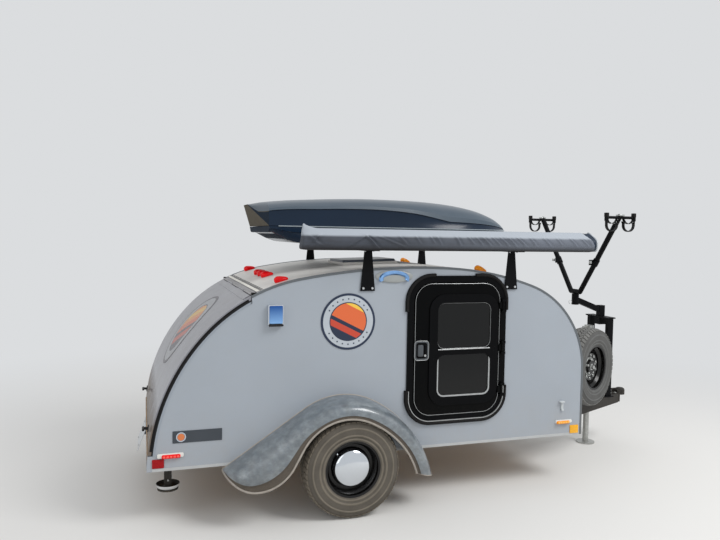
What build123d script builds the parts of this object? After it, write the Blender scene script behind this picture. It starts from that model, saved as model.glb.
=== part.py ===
from build123d import *
from math import atan2, cos, degrees, hypot, radians, sin, sqrt, tan
import os

# Teardrop camping trailer, in millimetres. X points forward, Y to the trailer's left and Z up.
# It is laid out from the body's rear bottom corner, and each piece is moved at the end
# so that the origin is the centre of the tow ball in the coupler.

# Body shell
BODY_WIDTH = 1524
WALL = 38
SKIN = 30
OUTLINE = (  # radius, turn in degrees: the side outline from the front wall over the roof
    (641.4, 70.6),
    (2184, 16.4),
    (4365, 13.4),
    (1051, 37.6),
    (1206, 41.3),
)
FLOOR = 24
HATCH = 20
SEAL = 9
HINGE_X = 604
SILL_TOP = 92
SILL = 34
TRIM_WIDTH = 24
EDGE_TRIM = 12
TRIM = 2.5
BULKHEAD_X = 648
BULKHEAD = 18
COUNTER_Z = 470
SHELF_Z = 760
GALLEY_BOARD = 16

# Running gear
TYRE_OD = 610
TYRE_WIDTH = 177
TYRE_FACETS = 72
RIM_D = 330
RIM_FLANGE_D = 366
CAP_D = 234
AXLE_X = 1200
HUB_Z = -33
WHEEL_OUT = 108
SPINDLE_D = 34
AXLE_TUBE = 60

# Chassis and tongue
RAIL_WIDTH = 50
RAIL_HEIGHT = 76
TUBE_WALL = 4
TONGUE_ANGLE = 25
BALL_X = 3905
BALL_Z = 74
BALL_SOCKET_R = 25.8
SOCKET_SKIRT = 16
NOSE_X = BALL_X - 55

# Fender
FENDER_WIDTH = 212
FENDER_SHEET = 3
FENDER_ROUND = 88
TAIL_ROUND = 150
TOE_TAPER = 300
TOE_WIDTH = 14
CROWN_RISE = 33.6

# Door
DOOR_X = 1607
DOOR_TOP = 1137
DOOR_WIDTH = 716
DOOR_HEIGHT = 970
DOOR_CORNER = 170
DOOR_FLANGE = 44
FLANGE_PROUD = 9
DOOR_THICK = 34
DOOR_PROUD = 14
DOOR_GAP = 6
DOOR_AXIS_OUT = 28
HINGE_BARREL_D = 14
HINGE_PIN_D = 6
PIN_FIT = 0.05
WINDOW_X = DOOR_X + 200
WINDOW_TOP = DOOR_TOP - 171
WINDOW_WIDTH = 402
WINDOW_HEIGHT = DOOR_HEIGHT - 334
WINDOW_CORNER = 58
SURROUND = 50
GLASS = 5

# Roof rack, cargo box, awning and vent
BRACKET_XS = (1331, 2354)
BRACKET_FOOT_Z = 1043
BRACKET_FOOT = 96
BRACKET_NECK = 50
BRACKET_PLATE = 8
RACK_Z = 1303
BAR_WIDTH = 60
BAR_HEIGHT = 28
BOX_REAR = 670
BOX_SLANT = 95
BOX_TIP = 85
BOX_FRONT = 2672
BOX_WIDTH = 840
BOX_SPLIT = 1446
BOX_TOP = 1656
BOX_WALL = 4
BOX_SEAM = 3
BOX_HINGES = (900, 1360, 1820)
BOX_AXIS_Y = BOX_WIDTH / 2 + 9
AWNING_REAR = 878
AWNING_FRONT = 2952
AWNING_DEPTH = 120
AWNING_HEIGHT = 134
VENT_X = 1540
VENT_SIZE = 410
VENT_RIM = 28
VENT_CURB = 12
VENT_LID = 16
VENT_PIN = 8
VENT_PIN_Z = 9

# Spare wheel and bike rack on the tongue
SPARE_X = NOSE_X - 531
SPARE_OUT = 48.4
SPARE_TURN = 27
TOWER_X = NOSE_X - 170
TOWER_TOP = 742
TOWER_SPREAD = 119
TOWER_BAR = 38
ARM_TUBE = 50
MAST_X = TOWER_X - 255
SLEEVE_Z = 842
SLEEVE_HEIGHT = 90
MAST_TUBE = 40
MAST_BOTTOM_Z = 952
MAST_TOP_Z = 1573
MAST_BASE_Y = 60
MAST_TIP_Y = 522
CRADLE = 123
STRAP_R = 48

# Jack and stabilisers
JACK_X = TOWER_X - 110
JACK_TUBE_D = 57
JACK_LEG_D = 48
JACK_FOOT_D = 150
STABILISER_X = 124
STABILISER_IN = 124
STABILISER_FOOT_D = 124
STABILISER_FOOT_Z = -166
STABILISER_TUBE_Z = -135

# Licence plate
PLATE_WIDTH = 305
PLATE_HEIGHT = 152
PLATE_TILT = 20

SIDES = (("right", -1), ("left", 1))
HALF = BODY_WIDTH / 2
FENDER_TAIL = (AXLE_X - 768, -18)
FENDER_TOE = (AXLE_X + 565, -143)
GROUND = HUB_Z - TYRE_OD / 2
FLOOR_Z = RAIL_HEIGHT
CABIN_Z = FLOOR_Z + FLOOR
INNER = HALF - WALL
ABOVE = 2 * BODY_WIDTH
WHEEL_Y = HALF + WHEEL_OUT
STABILISER_Y = INNER - STABILISER_IN
DOOR_Z = DOOR_TOP - DOOR_HEIGHT
WINDOW_Z = WINDOW_TOP - WINDOW_HEIGHT
RACK_TOP = RACK_Z + BAR_HEIGHT


def outline_arcs():
    """The outline's arcs as (centre x, centre z, radius, start and end heading), and its length and rise."""
    x, z, heading = 0.0, 0.0, 90.0
    arcs = []
    for radius, turn in OUTLINE:
        cx = x - radius * sin(radians(heading))
        cz = z + radius * cos(radians(heading))
        end = heading + turn
        arcs.append((cx, cz, radius, heading, end))
        x = cx + radius * sin(radians(end))
        z = cz - radius * cos(radians(end))
        heading = end
    return [(cx - x, cz - z, radius, start, end) for cx, cz, radius, start, end in arcs], -x, -z


ARCS, BODY_LENGTH, FRONT_RISE = outline_arcs()


def on_arc(arc, heading, inset=0.0):
    """A point of the outline at a heading, moved inwards by inset."""
    cx, cz, radius = arc[:3]
    reach = radius - inset
    return cx + reach * sin(radians(heading)), cz - reach * cos(radians(heading))


def roof_z(x, inset=0.0):
    """Height of the outline above the point x."""
    for arc in ARCS:
        if on_arc(arc, arc[4], inset)[0] <= x:
            return arc[1] + sqrt((arc[2] - inset) ** 2 - (x - arc[0]) ** 2)
    return 0.0


def roof_slope(x):
    """Angle in degrees by which the roof falls towards the front at x."""
    for arc in ARCS:
        if on_arc(arc, arc[4])[0] <= x:
            return degrees(atan2(x - arc[0], sqrt(arc[2] ** 2 - (x - arc[0]) ** 2)))
    return 0.0


def at(x, y, z):
    return Vector(x, y, z)


def block(x0, x1, y0, y1, z0, z1):
    """A box between two corners."""
    return Pos((x0 + x1) / 2, (y0 + y1) / 2, (z0 + z1) / 2) * Box(abs(x1 - x0), abs(y1 - y0), abs(z1 - z0))


def slab(edges, y0, y1):
    """A closed ring of edges in the XZ plane, extruded from y0 to y1."""
    face = Face(Wire(edges)).moved(Pos(0, min(y0, y1), 0))
    return extrude(face, amount=abs(y1 - y0), dir=(0, 1, 0))


def polygon(points, y0, y1):
    """A straight-sided XZ outline, extruded from y0 to y1."""
    corners = [at(x, 0, z) for x, z in points]
    return slab([Line(a, b) for a, b in zip(corners, corners[1:] + corners[:1])], y0, y1)


def body_profile(inset, y0, y1):
    """The whole side outline, moved inwards by inset, as a slab."""
    ends = []
    edges = []
    for arc in ARCS:
        a, m, b = (on_arc(arc, h, inset) for h in (arc[3], (arc[3] + arc[4]) / 2, arc[4]))
        edges.append(ThreePointArc(at(a[0], 0, a[1]), at(m[0], 0, m[1]), at(b[0], 0, b[1])))
        ends += [a, b]
    first, last = ends[0], ends[-1]
    bottom = min(0.0, last[1])
    edges.insert(0, Line(at(first[0], 0, bottom), at(first[0], 0, first[1])))
    if last[1] > bottom:
        edges.append(Line(at(last[0], 0, last[1]), at(last[0], 0, bottom)))
    edges.append(Line(at(last[0], 0, bottom), at(first[0], 0, bottom)))
    return slab(edges, y0, y1)


def chain(start, heading, moves):
    """Edges and end point of a tangent chain in XZ: moves are (length, 0) or (radius, turn to the left)."""
    x, z = start
    edges = []
    for size, turn in moves:
        if turn == 0:
            end = (x + size * cos(radians(heading)), z + size * sin(radians(heading)))
            edges.append(Line(at(x, 0, z), at(end[0], 0, end[1])))
        else:
            side = 1 if turn > 0 else -1
            cx = x - side * size * sin(radians(heading))
            cz = z + side * size * cos(radians(heading))
            stops = [heading + turn / 2, heading + turn]
            mid, end = [(cx + side * size * sin(radians(h)), cz - side * size * cos(radians(h))) for h in stops]
            edges.append(ThreePointArc(at(x, 0, z), at(mid[0], 0, mid[1]), at(end[0], 0, end[1])))
            heading += turn
        x, z = end
    return edges, (x, z)


def rounded(x0, x1, z0, z1, radius, y0, y1):
    """A rectangle with round corners in the XZ plane, extruded from y0 to y1."""
    plate = block(x0, x1, y0, y1, z0, z1)
    return fillet(plate.edges().filter_by(Axis.Y), radius)


def rod(start, end, diameter):
    """A round bar from one point to another."""
    a, b = Vector(*start), Vector(*end)
    plane = Plane(origin=a, z_dir=b - a)
    return plane * Pos(0, 0, (b - a).length / 2) * Cylinder(diameter / 2, (b - a).length)


def bar(start, end, width, height):
    """A rectangular bar from one point to another, its width level."""
    a, b = Vector(*start), Vector(*end)
    run = b - a
    level = Vector(-run.Y, run.X, 0) if hypot(run.X, run.Y) > 1 else Vector(0, 1, 0)
    plane = Plane(origin=a, x_dir=level, z_dir=run)
    return plane * Pos(0, 0, run.length / 2) * Box(width, height, run.length)


def turned(points, x, y, z, spin=0):
    """A ring of (radius, offset) points turned about a level axis through a point, offset measured along it."""
    ring = Polyline(*[(r, 0, o) for r, o in points], close=True)
    shape = revolve(Face(Wire(ring.edges())), Axis.Z, 360)
    return Pos(x, y, z) * Rot(0, 0, spin) * Rot(90, 0, 0) * shape


def save(name, shape):
    """Moves a piece so that the tow ball is the origin and writes it."""
    if isinstance(shape, (list, tuple)):
        shape = Compound(children=[piece for whole in shape for piece in whole.solids()])
    export_step(Pos(-BALL_X, 0, -BALL_Z) * shape, f"parts/{name}.step")


def rail_y(x):
    """Distance of a tongue rail's centre line from the middle at x."""
    return 26 + (NOSE_X - x) * tan(radians(TONGUE_ANGLE))


# The welded ladder frame under the floor
def chassis():
    y = INNER - 4
    frame = []
    for side in (-1, 1):
        inner = side * (y - RAIL_WIDTH)
        frame.append(block(40, BODY_LENGTH - 40, min(side * y, inner), max(side * y, inner), 0, RAIL_HEIGHT))
    for x in (40, 560, AXLE_X + 260, 2160, BODY_LENGTH - 40 - RAIL_WIDTH):
        frame.append(block(x, x + RAIL_WIDTH, -y, y, 0, RAIL_HEIGHT))
    whole = frame[0]
    for piece in frame[1:]:
        whole += piece
    return whole


def tongue():
    """Two rails that meet at the coupler, with the plate that carries the jack."""
    start = BODY_LENGTH - 38
    whole = None
    for side in (-1, 1):
        rail = bar(
            (start - 200, side * rail_y(start - 200), RAIL_HEIGHT / 2),
            (NOSE_X + 40, side * rail_y(NOSE_X + 40), RAIL_HEIGHT / 2),
            RAIL_WIDTH,
            RAIL_HEIGHT,
        )
        whole = rail if whole is None else whole + rail
    whole -= block(start - 500, start, -HALF, HALF, -1, RAIL_HEIGHT + 1)
    whole -= block(NOSE_X, NOSE_X + 200, -HALF, HALF, -1, RAIL_HEIGHT + 1)
    reach = rail_y(JACK_X)
    plate = block(JACK_X - 60, JACK_X + 60, -reach, reach, RAIL_HEIGHT, RAIL_HEIGHT + 8)
    plate -= Pos(JACK_X, 0, RAIL_HEIGHT) * Cylinder(JACK_TUBE_D / 2, 40)
    return whole + plate


def coupler():
    """A cast head over the ball, with a socket open below, wings on the rails and a latch lever."""
    top = BALL_Z + 40
    low = BALL_Z - SOCKET_SKIRT
    head = Pos(BALL_X, 0, (top + low) / 2) * Cylinder(40, top - low)
    head = fillet(head.edges().sort_by(Axis.Z)[-1], 22)
    neck = block(NOSE_X, BALL_X, -36, 36, low, top - 12)
    whole = head + neck
    whole -= Pos(BALL_X, 0, BALL_Z) * Sphere(BALL_SOCKET_R)
    whole -= Pos(BALL_X, 0, BALL_Z - SOCKET_SKIRT) * Cylinder(BALL_SOCKET_R, 2 * SOCKET_SKIRT)
    plate = block(NOSE_X - 120, NOSE_X + 8, -60, 60, RAIL_HEIGHT, RAIL_HEIGHT + 6)
    whole += plate
    whole += block(NOSE_X, NOSE_X + 20, -50, 50, 4, RAIL_HEIGHT + 6)
    lever = block(NOSE_X - 70, NOSE_X + 30, -9, 9, top - 14, top - 2)
    whole += lever + block(NOSE_X - 10, NOSE_X + 20, -14, 14, RAIL_HEIGHT, top - 4)
    return whole


def axle():
    """A square torsion beam, its two brackets, the trailing arms and the spindles."""
    beam_x = AXLE_X + 110
    low = HUB_Z - AXLE_TUBE / 2
    inner = INNER - 10
    whole = block(beam_x - AXLE_TUBE / 2, beam_x + AXLE_TUBE / 2, -inner, inner, -AXLE_TUBE - 6, -6)
    for side in (-1, 1):
        y = side * (INNER - 4 - RAIL_WIDTH / 2)
        whole += block(beam_x - 70, beam_x + 70, y - 25, y + 25, -6, 0)
        arm_y0, arm_y1 = side * inner, side * (inner + 22)
        whole += bar(
            (beam_x, (arm_y0 + arm_y1) / 2, -6 - AXLE_TUBE / 2),
            (AXLE_X - 10, (arm_y0 + arm_y1) / 2, HUB_Z),
            22,
            38,
        )
        whole += rod((AXLE_X, arm_y0, HUB_Z), (AXLE_X, side * (WHEEL_Y + 46), HUB_Z), SPINDLE_D)
    return whole


# Tyre and wheel
def faceted(points, count):
    """A ring like turned makes, about Z, in flat facets."""
    rows = []
    for radius, offset in points:
        turns = [radians(360 * k / count) for k in range(count)]
        rows.append([Vector(radius * cos(t), radius * sin(t), offset) for t in turns])
    faces = []
    for a, b in zip(rows, rows[1:] + rows[:1]):
        for k in range(count):
            n = (k + 1) % count
            faces.append(Face(Polyline(a[k], b[k], b[n], a[n], close=True)))
    return Solid(Shell(faces))


def tyre(x, y, z, spin=0):
    half = TYRE_WIDTH / 2
    outer = TYRE_OD / 2
    bead = RIM_D / 2
    ring = [
        (bead + 2, -half * 0.72),
        (bead + 44, -half * 0.98),
        (outer - 30, -half * 0.97),
        (outer, -half * 0.62),
        (outer, half * 0.62),
        (outer - 30, half * 0.97),
        (bead + 44, half * 0.98),
        (bead + 2, half * 0.72),
        (bead + 2, half * 0.6),
        (outer - 26, half * 0.62),
        (outer - 26, -half * 0.62),
        (bead + 2, -half * 0.6),
    ]
    return Pos(x, y, z) * Rot(0, 0, spin) * Rot(90, 0, 0) * faceted(ring, TYRE_FACETS)


def rim(x, y, z, spin, bore):
    """A pressed steel wheel: the rim, its disc and the hub. Offset is positive towards its outer face."""
    half = TYRE_WIDTH * 0.36
    seat = RIM_D / 2
    lip = RIM_FLANGE_D / 2
    ring = [
        (lip, half + 9),
        (seat + 1, half + 4),
        (seat + 1, half - 22),
        (seat - 16, half - 40),
        (seat - 16, -half + 40),
        (seat + 1, -half + 22),
        (seat + 1, -half - 4),
        (lip, -half - 9),
        (lip, -half - 13),
        (seat - 3, -half - 8),
        (seat - 3, -half + 20),
        (seat - 20, -half + 38),
        (seat - 20, 6),
        (seat - 44, 4),
        (seat - 58, 26),
        (72, 18),
        (60, 8),
        (60, -30),
        (bore, -30),
        (bore, 42),
        (52, 42),
        (60, 24),
        (72, 24),
        (seat - 58, 32),
        (seat - 40, 12),
        (seat - 20, 12),
        (seat - 20, half - 38),
        (seat - 3, half - 20),
        (seat - 3, half + 8),
        (lip, half + 13),
    ]
    return turned(ring, x, y, z, spin)


def cap(x, y, z, spin):
    """A chromed dome over the middle of the wheel."""
    r = CAP_D / 2
    outer = [(0.01, 82), (r * 0.3, 80), (r * 0.58, 73), (r * 0.8, 62), (r * 0.94, 48), (r, 36), (r, 23.6)]
    inner = [(r - 2, 23.6), (r - 2, 36), (r * 0.94 - 2, 46), (r * 0.8 - 1, 60), (r * 0.58, 71), (r * 0.3, 78), (0.01, 80)]
    return turned(outer + inner, x, y, z, spin)


# Body
def door_hole(inset, y0, y1):
    return rounded(
        DOOR_X + inset,
        DOOR_X + DOOR_WIDTH - inset,
        DOOR_Z + inset,
        DOOR_Z + DOOR_HEIGHT - inset,
        DOOR_CORNER - inset,
        y0,
        y1,
    )


JAMB = DOOR_FLANGE - 14
LEAF = DOOR_FLANGE + DOOR_GAP
REAR_INSET = HATCH + SEAL


def side_wall(side):
    y0, y1 = sorted((side * INNER, side * HALF))
    wall = body_profile(0, y0, y1)
    rear = body_profile(0, y0, y1) - body_profile(REAR_INSET, y0 - 1, y1 + 1)
    rear = rear & block(-10, HINGE_X, y0 - 1, y1 + 1, SILL_TOP, ABOVE)
    return wall - rear - door_hole(JAMB, y0 - 5, y1 + 5)


def roof_shell():
    """Front wall and roof in one curved panel between the side walls."""
    shell = body_profile(0, -INNER, INNER) - body_profile(SKIN, -INNER - 1, INNER + 1)
    shell = shell & block(HINGE_X + 4, BODY_LENGTH + 10, -INNER - 1, INNER + 1, -1, ABOVE)
    shell -= block(HINGE_X, BODY_LENGTH - SKIN, -INNER - 1, INNER + 1, -2, FRONT_RISE - SKIN)
    shell -= block(BODY_LENGTH - SKIN - 9, BODY_LENGTH + 9, -HALF * 0.76, HALF * 0.76, -2, CABIN_Z)
    shell -= Pos(VENT_X, 0, roof_z(VENT_X)) * Box(VENT_SIZE - 2 * VENT_RIM, VENT_SIZE - 2 * VENT_RIM, 4 * SKIN)
    return shell


def floor():
    base = block(SILL, BODY_LENGTH - SKIN, -INNER, INNER, FLOOR_Z, CABIN_Z)
    return base + block(0, SILL, -INNER, INNER, 0, SILL_TOP)


def bulkhead():
    wall = body_profile(SKIN, -INNER, INNER) & block(
        BULKHEAD_X, BULKHEAD_X + BULKHEAD, -INNER, INNER, CABIN_Z, ABOVE
    )
    return wall


def galley():
    """Counter, shelves and dividers behind the hatch, cut to clear it."""
    room = body_profile(HATCH + 26, -INNER, INNER) & block(0, BULKHEAD_X, -INNER, INNER, CABIN_Z, ABOVE)
    plates = []
    for z in (CABIN_Z, COUNTER_Z, SHELF_Z):
        plates.append(block(0, BULKHEAD_X, -INNER, INNER, z, z + GALLEY_BOARD))
    for y in (-INNER, -INNER / 3, INNER / 3 - GALLEY_BOARD, INNER - GALLEY_BOARD):
        plates.append(block(0, BULKHEAD_X, y, y + GALLEY_BOARD, CABIN_Z, COUNTER_Z))
        plates.append(block(BULKHEAD_X / 2, BULKHEAD_X, y, y + GALLEY_BOARD, SHELF_Z, ABOVE))
    whole = plates[0]
    for plate in plates[1:]:
        whole += plate
    return whole & room


def mattress():
    pad = block(BULKHEAD_X + BULKHEAD + 20, BODY_LENGTH - SKIN - 60, -INNER + 30, INNER - 30, CABIN_Z, CABIN_Z + 110)
    return fillet(pad.edges(), 26)


def edge_trims():
    """Aluminium angles along both roof edges and down the rear of the side walls."""
    pieces = []
    for side in (-1, 1):
        y0, y1 = sorted((side * HALF, side * (HALF + TRIM)))
        side_leg = body_profile(0, y0, y1) - body_profile(EDGE_TRIM, y0 - 1, y1 + 1)
        side_leg = side_leg & block(HINGE_X, BODY_LENGTH + 10, y0 - 1, y1 + 1, -1, ABOVE)
        rear_leg = body_profile(REAR_INSET, y0, y1) - body_profile(REAR_INSET + EDGE_TRIM, y0 - 1, y1 + 1)
        rear_leg = rear_leg & block(-10, HINGE_X + 1, y0 - 1, y1 + 1, SILL_TOP, ABOVE)
        y2, y3 = sorted((side * (HALF + TRIM), side * (HALF - TRIM_WIDTH)))
        top_leg = body_profile(-TRIM, y2, y3) - body_profile(0, y2 - 1, y3 + 1)
        top_leg = top_leg & block(HINGE_X + 4, BODY_LENGTH + 10, y2 - 1, y3 + 1, 0, ABOVE)
        pieces.append(side_leg + rear_leg + top_leg - door_hole(-1, y0 - 5, y1 + 5))
    return pieces


def hatch_seals():
    """Black rubber along the edges that the hatch closes on."""
    pieces = []
    for side in (-1, 1):
        y0, y1 = sorted((side * (HALF - 4), side * (HALF - 30)))
        strip = body_profile(HATCH + 1, y0, y1) - body_profile(REAR_INSET, y0 - 1, y1 + 1)
        pieces.append(strip & block(-10, HINGE_X, y0 - 1, y1 + 1, SILL_TOP, ABOVE))
    return pieces


def hatch_panel():
    """The curved rear hatch, with a stiffening rib behind it and a black edge along each side."""
    reach = HALF - 3
    panel = body_profile(0, -reach, reach) - body_profile(HATCH, -reach - 1, reach + 1)
    return panel & block(-10, HINGE_X - 4, -reach - 1, reach + 1, SILL_TOP + 5, ABOVE)


HATCH_AXIS_Z = roof_z(HINGE_X) + 6
HATCH_BARRELS = ((-INNER + 6, -432), (-140, 140), (432, INNER - 6))


def hatch_hinge():
    """A continuous hinge: the leaf on the roof with its barrels and the pin."""
    strip = body_profile(-4, -INNER + 6, INNER - 6) - body_profile(0, -INNER, INNER)
    strip &= block(HINGE_X, HINGE_X + 50, -INNER, INNER, 500, ABOVE)
    for y0, y1 in HATCH_BARRELS:
        strip += rod((HINGE_X, y0, HATCH_AXIS_Z), (HINGE_X, y1, HATCH_AXIS_Z), 11)
    for y0, y1 in ((-440, -130), (130, 440)):
        strip -= block(HINGE_X - 9, HINGE_X + 9, y0, y1, HATCH_AXIS_Z - 20, HATCH_AXIS_Z + 20)
    return strip + rod((HINGE_X, -INNER + 6, HATCH_AXIS_Z), (HINGE_X, INNER - 6, HATCH_AXIS_Z), 5)


def hatch_leaf():
    """The hatch's half of the hinge: a leaf on the panel with two long barrels round the pin."""
    strip = body_profile(-4, -INNER + 6, INNER - 6) - body_profile(0, -INNER, INNER)
    strip &= block(HINGE_X - 50, HINGE_X - 2, -INNER, INNER, 500, ABOVE)
    for y0, y1 in HATCH_BARRELS:
        strip -= block(HINGE_X - 9, HINGE_X, y0 - 10, y1 + 10, HATCH_AXIS_Z - 20, HATCH_AXIS_Z + 20)
    for y0, y1 in ((-422, -150), (150, 422)):
        strip += rod((HINGE_X, y0, HATCH_AXIS_Z), (HINGE_X, y1, HATCH_AXIS_Z), 11)
        strip -= rod((HINGE_X, y0 - 1, HATCH_AXIS_Z), (HINGE_X, y1 + 1, HATCH_AXIS_Z), 5 + 2 * PIN_FIT)
    return strip


def fender_plan(inset, side):
    """The fender seen from above: rounded at the tail and drawn in towards the front toe."""
    tail = FENDER_TAIL[0] + inset
    toe = FENDER_TOE[0] - inset
    reach = FENDER_WIDTH - inset
    start = tail + TAIL_ROUND
    bend = TAIL_ROUND * (1 - cos(radians(45)))
    corners = [
        (tail, -inset, 0),
        (tail, reach - TAIL_ROUND, 0),
        (start, reach, 0),
        (toe - TOE_TAPER, reach, 0),
        (toe, TOE_WIDTH - inset, 0),
        (toe, -inset, 0),
    ]
    edges = [
        Line(corners[0], corners[1]),
        ThreePointArc(corners[1], (tail + bend, reach - bend, 0), corners[2]),
        Line(corners[2], corners[3]),
        TangentArc(corners[3], corners[4], tangent=(1, 0, 0)),
        Line(corners[4], corners[5]),
        Line(corners[5], corners[0]),
    ]
    plan = extrude(Face(Wire(edges)).moved(Pos(0, HALF, -ABOVE)), amount=2 * ABOVE, dir=(0, 0, 1))
    return plan if side > 0 else mirror(plan, about=Plane.XZ)


def fender_crown(inset, side):
    """The space under a fender's crown, down past its lip, with its outer edge rounded."""
    x, z = FENDER_TAIL
    crown, end = chain(
        (x + inset * sin(radians(CROWN_RISE)), z - inset * cos(radians(CROWN_RISE))),
        CROWN_RISE,
        [(605, 0), (436 - inset, -57.8), (728 - inset, -52.3)],
    )
    first = crown[0] @ 0
    low = GROUND
    ring = crown + [
        Line(at(end[0], 0, end[1]), at(end[0], 0, low)),
        Line(at(end[0], 0, low), at(first.X, 0, low)),
        Line(at(first.X, 0, low), at(first.X, 0, first.Z)),
    ]
    space = slab(ring, side * (HALF - inset), side * (HALF + FENDER_WIDTH - inset)) & fender_plan(inset, side)
    outer = [e for e in space.edges() if abs(e.center().Y) > HALF + TOE_WIDTH / 2 and e.center().Z > low + 1]
    return fillet([e for e in outer if abs(e.tangent_at(0.5).Z) < 0.999], FENDER_ROUND - inset)


def fender(side):
    """A pressed fender: a crown over the wheel whose outer edge turns down to a lip."""
    lip, tip = chain(
        FENDER_TAIL,
        -52.7,
        [(227, 49.8), (246, 64.7), (107, 0), (322, -85.9), (620, -46.7)],
    )
    toe = FENDER_TOE
    x, z = FENDER_TAIL
    keep = lip + [
        Line(at(tip[0], 0, tip[1]), at(toe[0], 0, toe[1])),
        Line(at(toe[0], 0, toe[1]), at(toe[0] + 60, 0, HALF)),
        Line(at(toe[0] + 60, 0, HALF), at(x - 20, 0, HALF)),
        Line(at(x - 20, 0, HALF), at(x, 0, z)),
    ]
    shell = fender_crown(0, side) - fender_crown(FENDER_SHEET, side)
    shell &= slab(keep, side * HALF, side * (HALF + FENDER_WIDTH + 1))
    return shell


def side_plates(table, depth):
    """Flat lamps and plates as (x0, x1, z0, z1, corner) on both walls, standing depth proud."""
    pieces = []
    for side in (-1, 1):
        for x0, x1, z0, z1, corner in table:
            pieces.append(rounded(x0, x1, z0, z1, corner, side * HALF, side * (HALF + depth)))
    return pieces


def oval_lamps(x0, x1, z0, z1, depth):
    """The oval lamp on each wall, between two corners."""
    oval = extrude(Ellipse((x1 - x0) / 2, (z1 - z0) / 2), amount=depth / 2, both=True)
    x, z = (x0 + x1) / 2, (z0 + z1) / 2
    return [Pos(x, side * (HALF + depth / 2), z) * Rot(90, 0, 0) * oval for side in (-1, 1)]


def clearance_lamp(x, y):
    """A bullet-shaped lamp standing on the roof at x, its round end to the rear."""
    axis = Plane(origin=(-18, 0, 14), z_dir=(62, 0, -10))
    body = axis * Pos(0, 0, 31) * Cone(24, 10, 62)
    body += Pos(-18, 0, 14) * Sphere(24)
    body &= Pos(0, 0, 20) * Box(200, 80, 40)
    return Pos(x, y, roof_z(x)) * Rot(0, roof_slope(x), 0) * body


def roof_rack():
    """Black steel plates on the side walls that rise past the roof, with the crossbars between them."""
    pieces = []
    for x in BRACKET_XS:
        whole = block(x - BAR_WIDTH / 2, x + BAR_WIDTH / 2, -HALF, HALF, RACK_Z, RACK_TOP)
        outline = [
            (x - BRACKET_FOOT / 2, BRACKET_FOOT_Z),
            (x + BRACKET_FOOT / 2, BRACKET_FOOT_Z),
            (x + BRACKET_NECK / 2, RACK_Z - 6),
            (x - BRACKET_NECK / 2, RACK_Z - 6),
        ]
        for side in (-1, 1):
            whole += polygon(outline, side * (HALF + TRIM), side * (HALF + TRIM + BRACKET_PLATE))
            reach = side * (HALF + AWNING_DEPTH * 0.8)
            whole += block(x - 47, x + 47, side * (HALF - 60), reach, RACK_Z - 6, RACK_Z)
        pieces.append(whole)
    return pieces


def box_shape(inset):
    """The cargo box as a solid: side profile, plan and cross-section cut from each other."""
    half = BOX_WIDTH / 2 - inset
    tip = BOX_TIP - inset
    x0, x1 = BOX_REAR + inset, BOX_FRONT - inset * 2
    low, top = RACK_TOP + inset, BOX_TOP - inset
    pts = [
        at(x0 + 215, 0, low),
        at(x1 - 330, 0, low),
        at(x1, 0, BOX_SPLIT),
        at(x1 - 560, 0, top - 46),
        at(x0 + 800, 0, top),
        at(x0, 0, top - 62),
        at(x0 + BOX_SLANT, 0, BOX_SPLIT),
    ]
    edges = [
        Line(pts[0], pts[1]),
        TangentArc(pts[1], pts[2], tangent=(1, 0, 0)),
        ThreePointArc(pts[2], at(x1 - 230, 0, top - 116), pts[3]),
        ThreePointArc(pts[3], at((pts[3].X + pts[4].X) / 2, 0, top - 6), pts[4]),
        ThreePointArc(pts[4], at(x0 + 360, 0, top - 20), pts[5]),
        Line(pts[5], pts[6]),
        TangentArc(pts[0], pts[6], tangent=(-1, 0, 0)),
    ]
    profile = slab(edges, -half, half)
    plan = Face(
        Wire(
            [
                Line((x0 + BOX_SLANT, -half, 0), (x1 - 700, -half, 0)),
                ThreePointArc((x1 - 700, -half, 0), (x1 - 190, -half * 0.74, 0), (x1 + 5, -70, 0)),
                Line((x1 + 5, -70, 0), (x1 + 5, 70, 0)),
                ThreePointArc((x1 + 5, 70, 0), (x1 - 190, half * 0.74, 0), (x1 - 700, half, 0)),
                Line((x1 - 700, half, 0), (x0 + BOX_SLANT, half, 0)),
                Line((x0 + BOX_SLANT, half, 0), (x0, tip, 0)),
                Line((x0, tip, 0), (x0, -tip, 0)),
                Line((x0, -tip, 0), (x0 + BOX_SLANT, -half, 0)),
            ]
        )
    ).moved(Pos(0, 0, low - 10))
    plan = extrude(plan, amount=top - low + 20, dir=(0, 0, 1))
    shoulder = 62
    cross = Face(
        Wire(
            [
                Line((0, -half * 0.86, low - 3), (0, half * 0.86, low - 3)),
                Line((0, half * 0.86, low - 3), (0, half + 1, BOX_SPLIT)),
                Line((0, half + 1, BOX_SPLIT), (0, half - 14, top - shoulder)),
                ThreePointArc((0, half - 14, top - shoulder), (0, 0, top + 5), (0, 14 - half, top - shoulder)),
                Line((0, 14 - half, top - shoulder), (0, -half - 1, BOX_SPLIT)),
                Line((0, -half - 1, BOX_SPLIT), (0, -half * 0.86, low - 3)),
            ]
        )
    ).moved(Pos(x0 - 10, 0, 0))
    cross = extrude(cross, amount=x1 - x0 + 20, dir=(1, 0, 0))
    return profile & plan & cross


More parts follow.
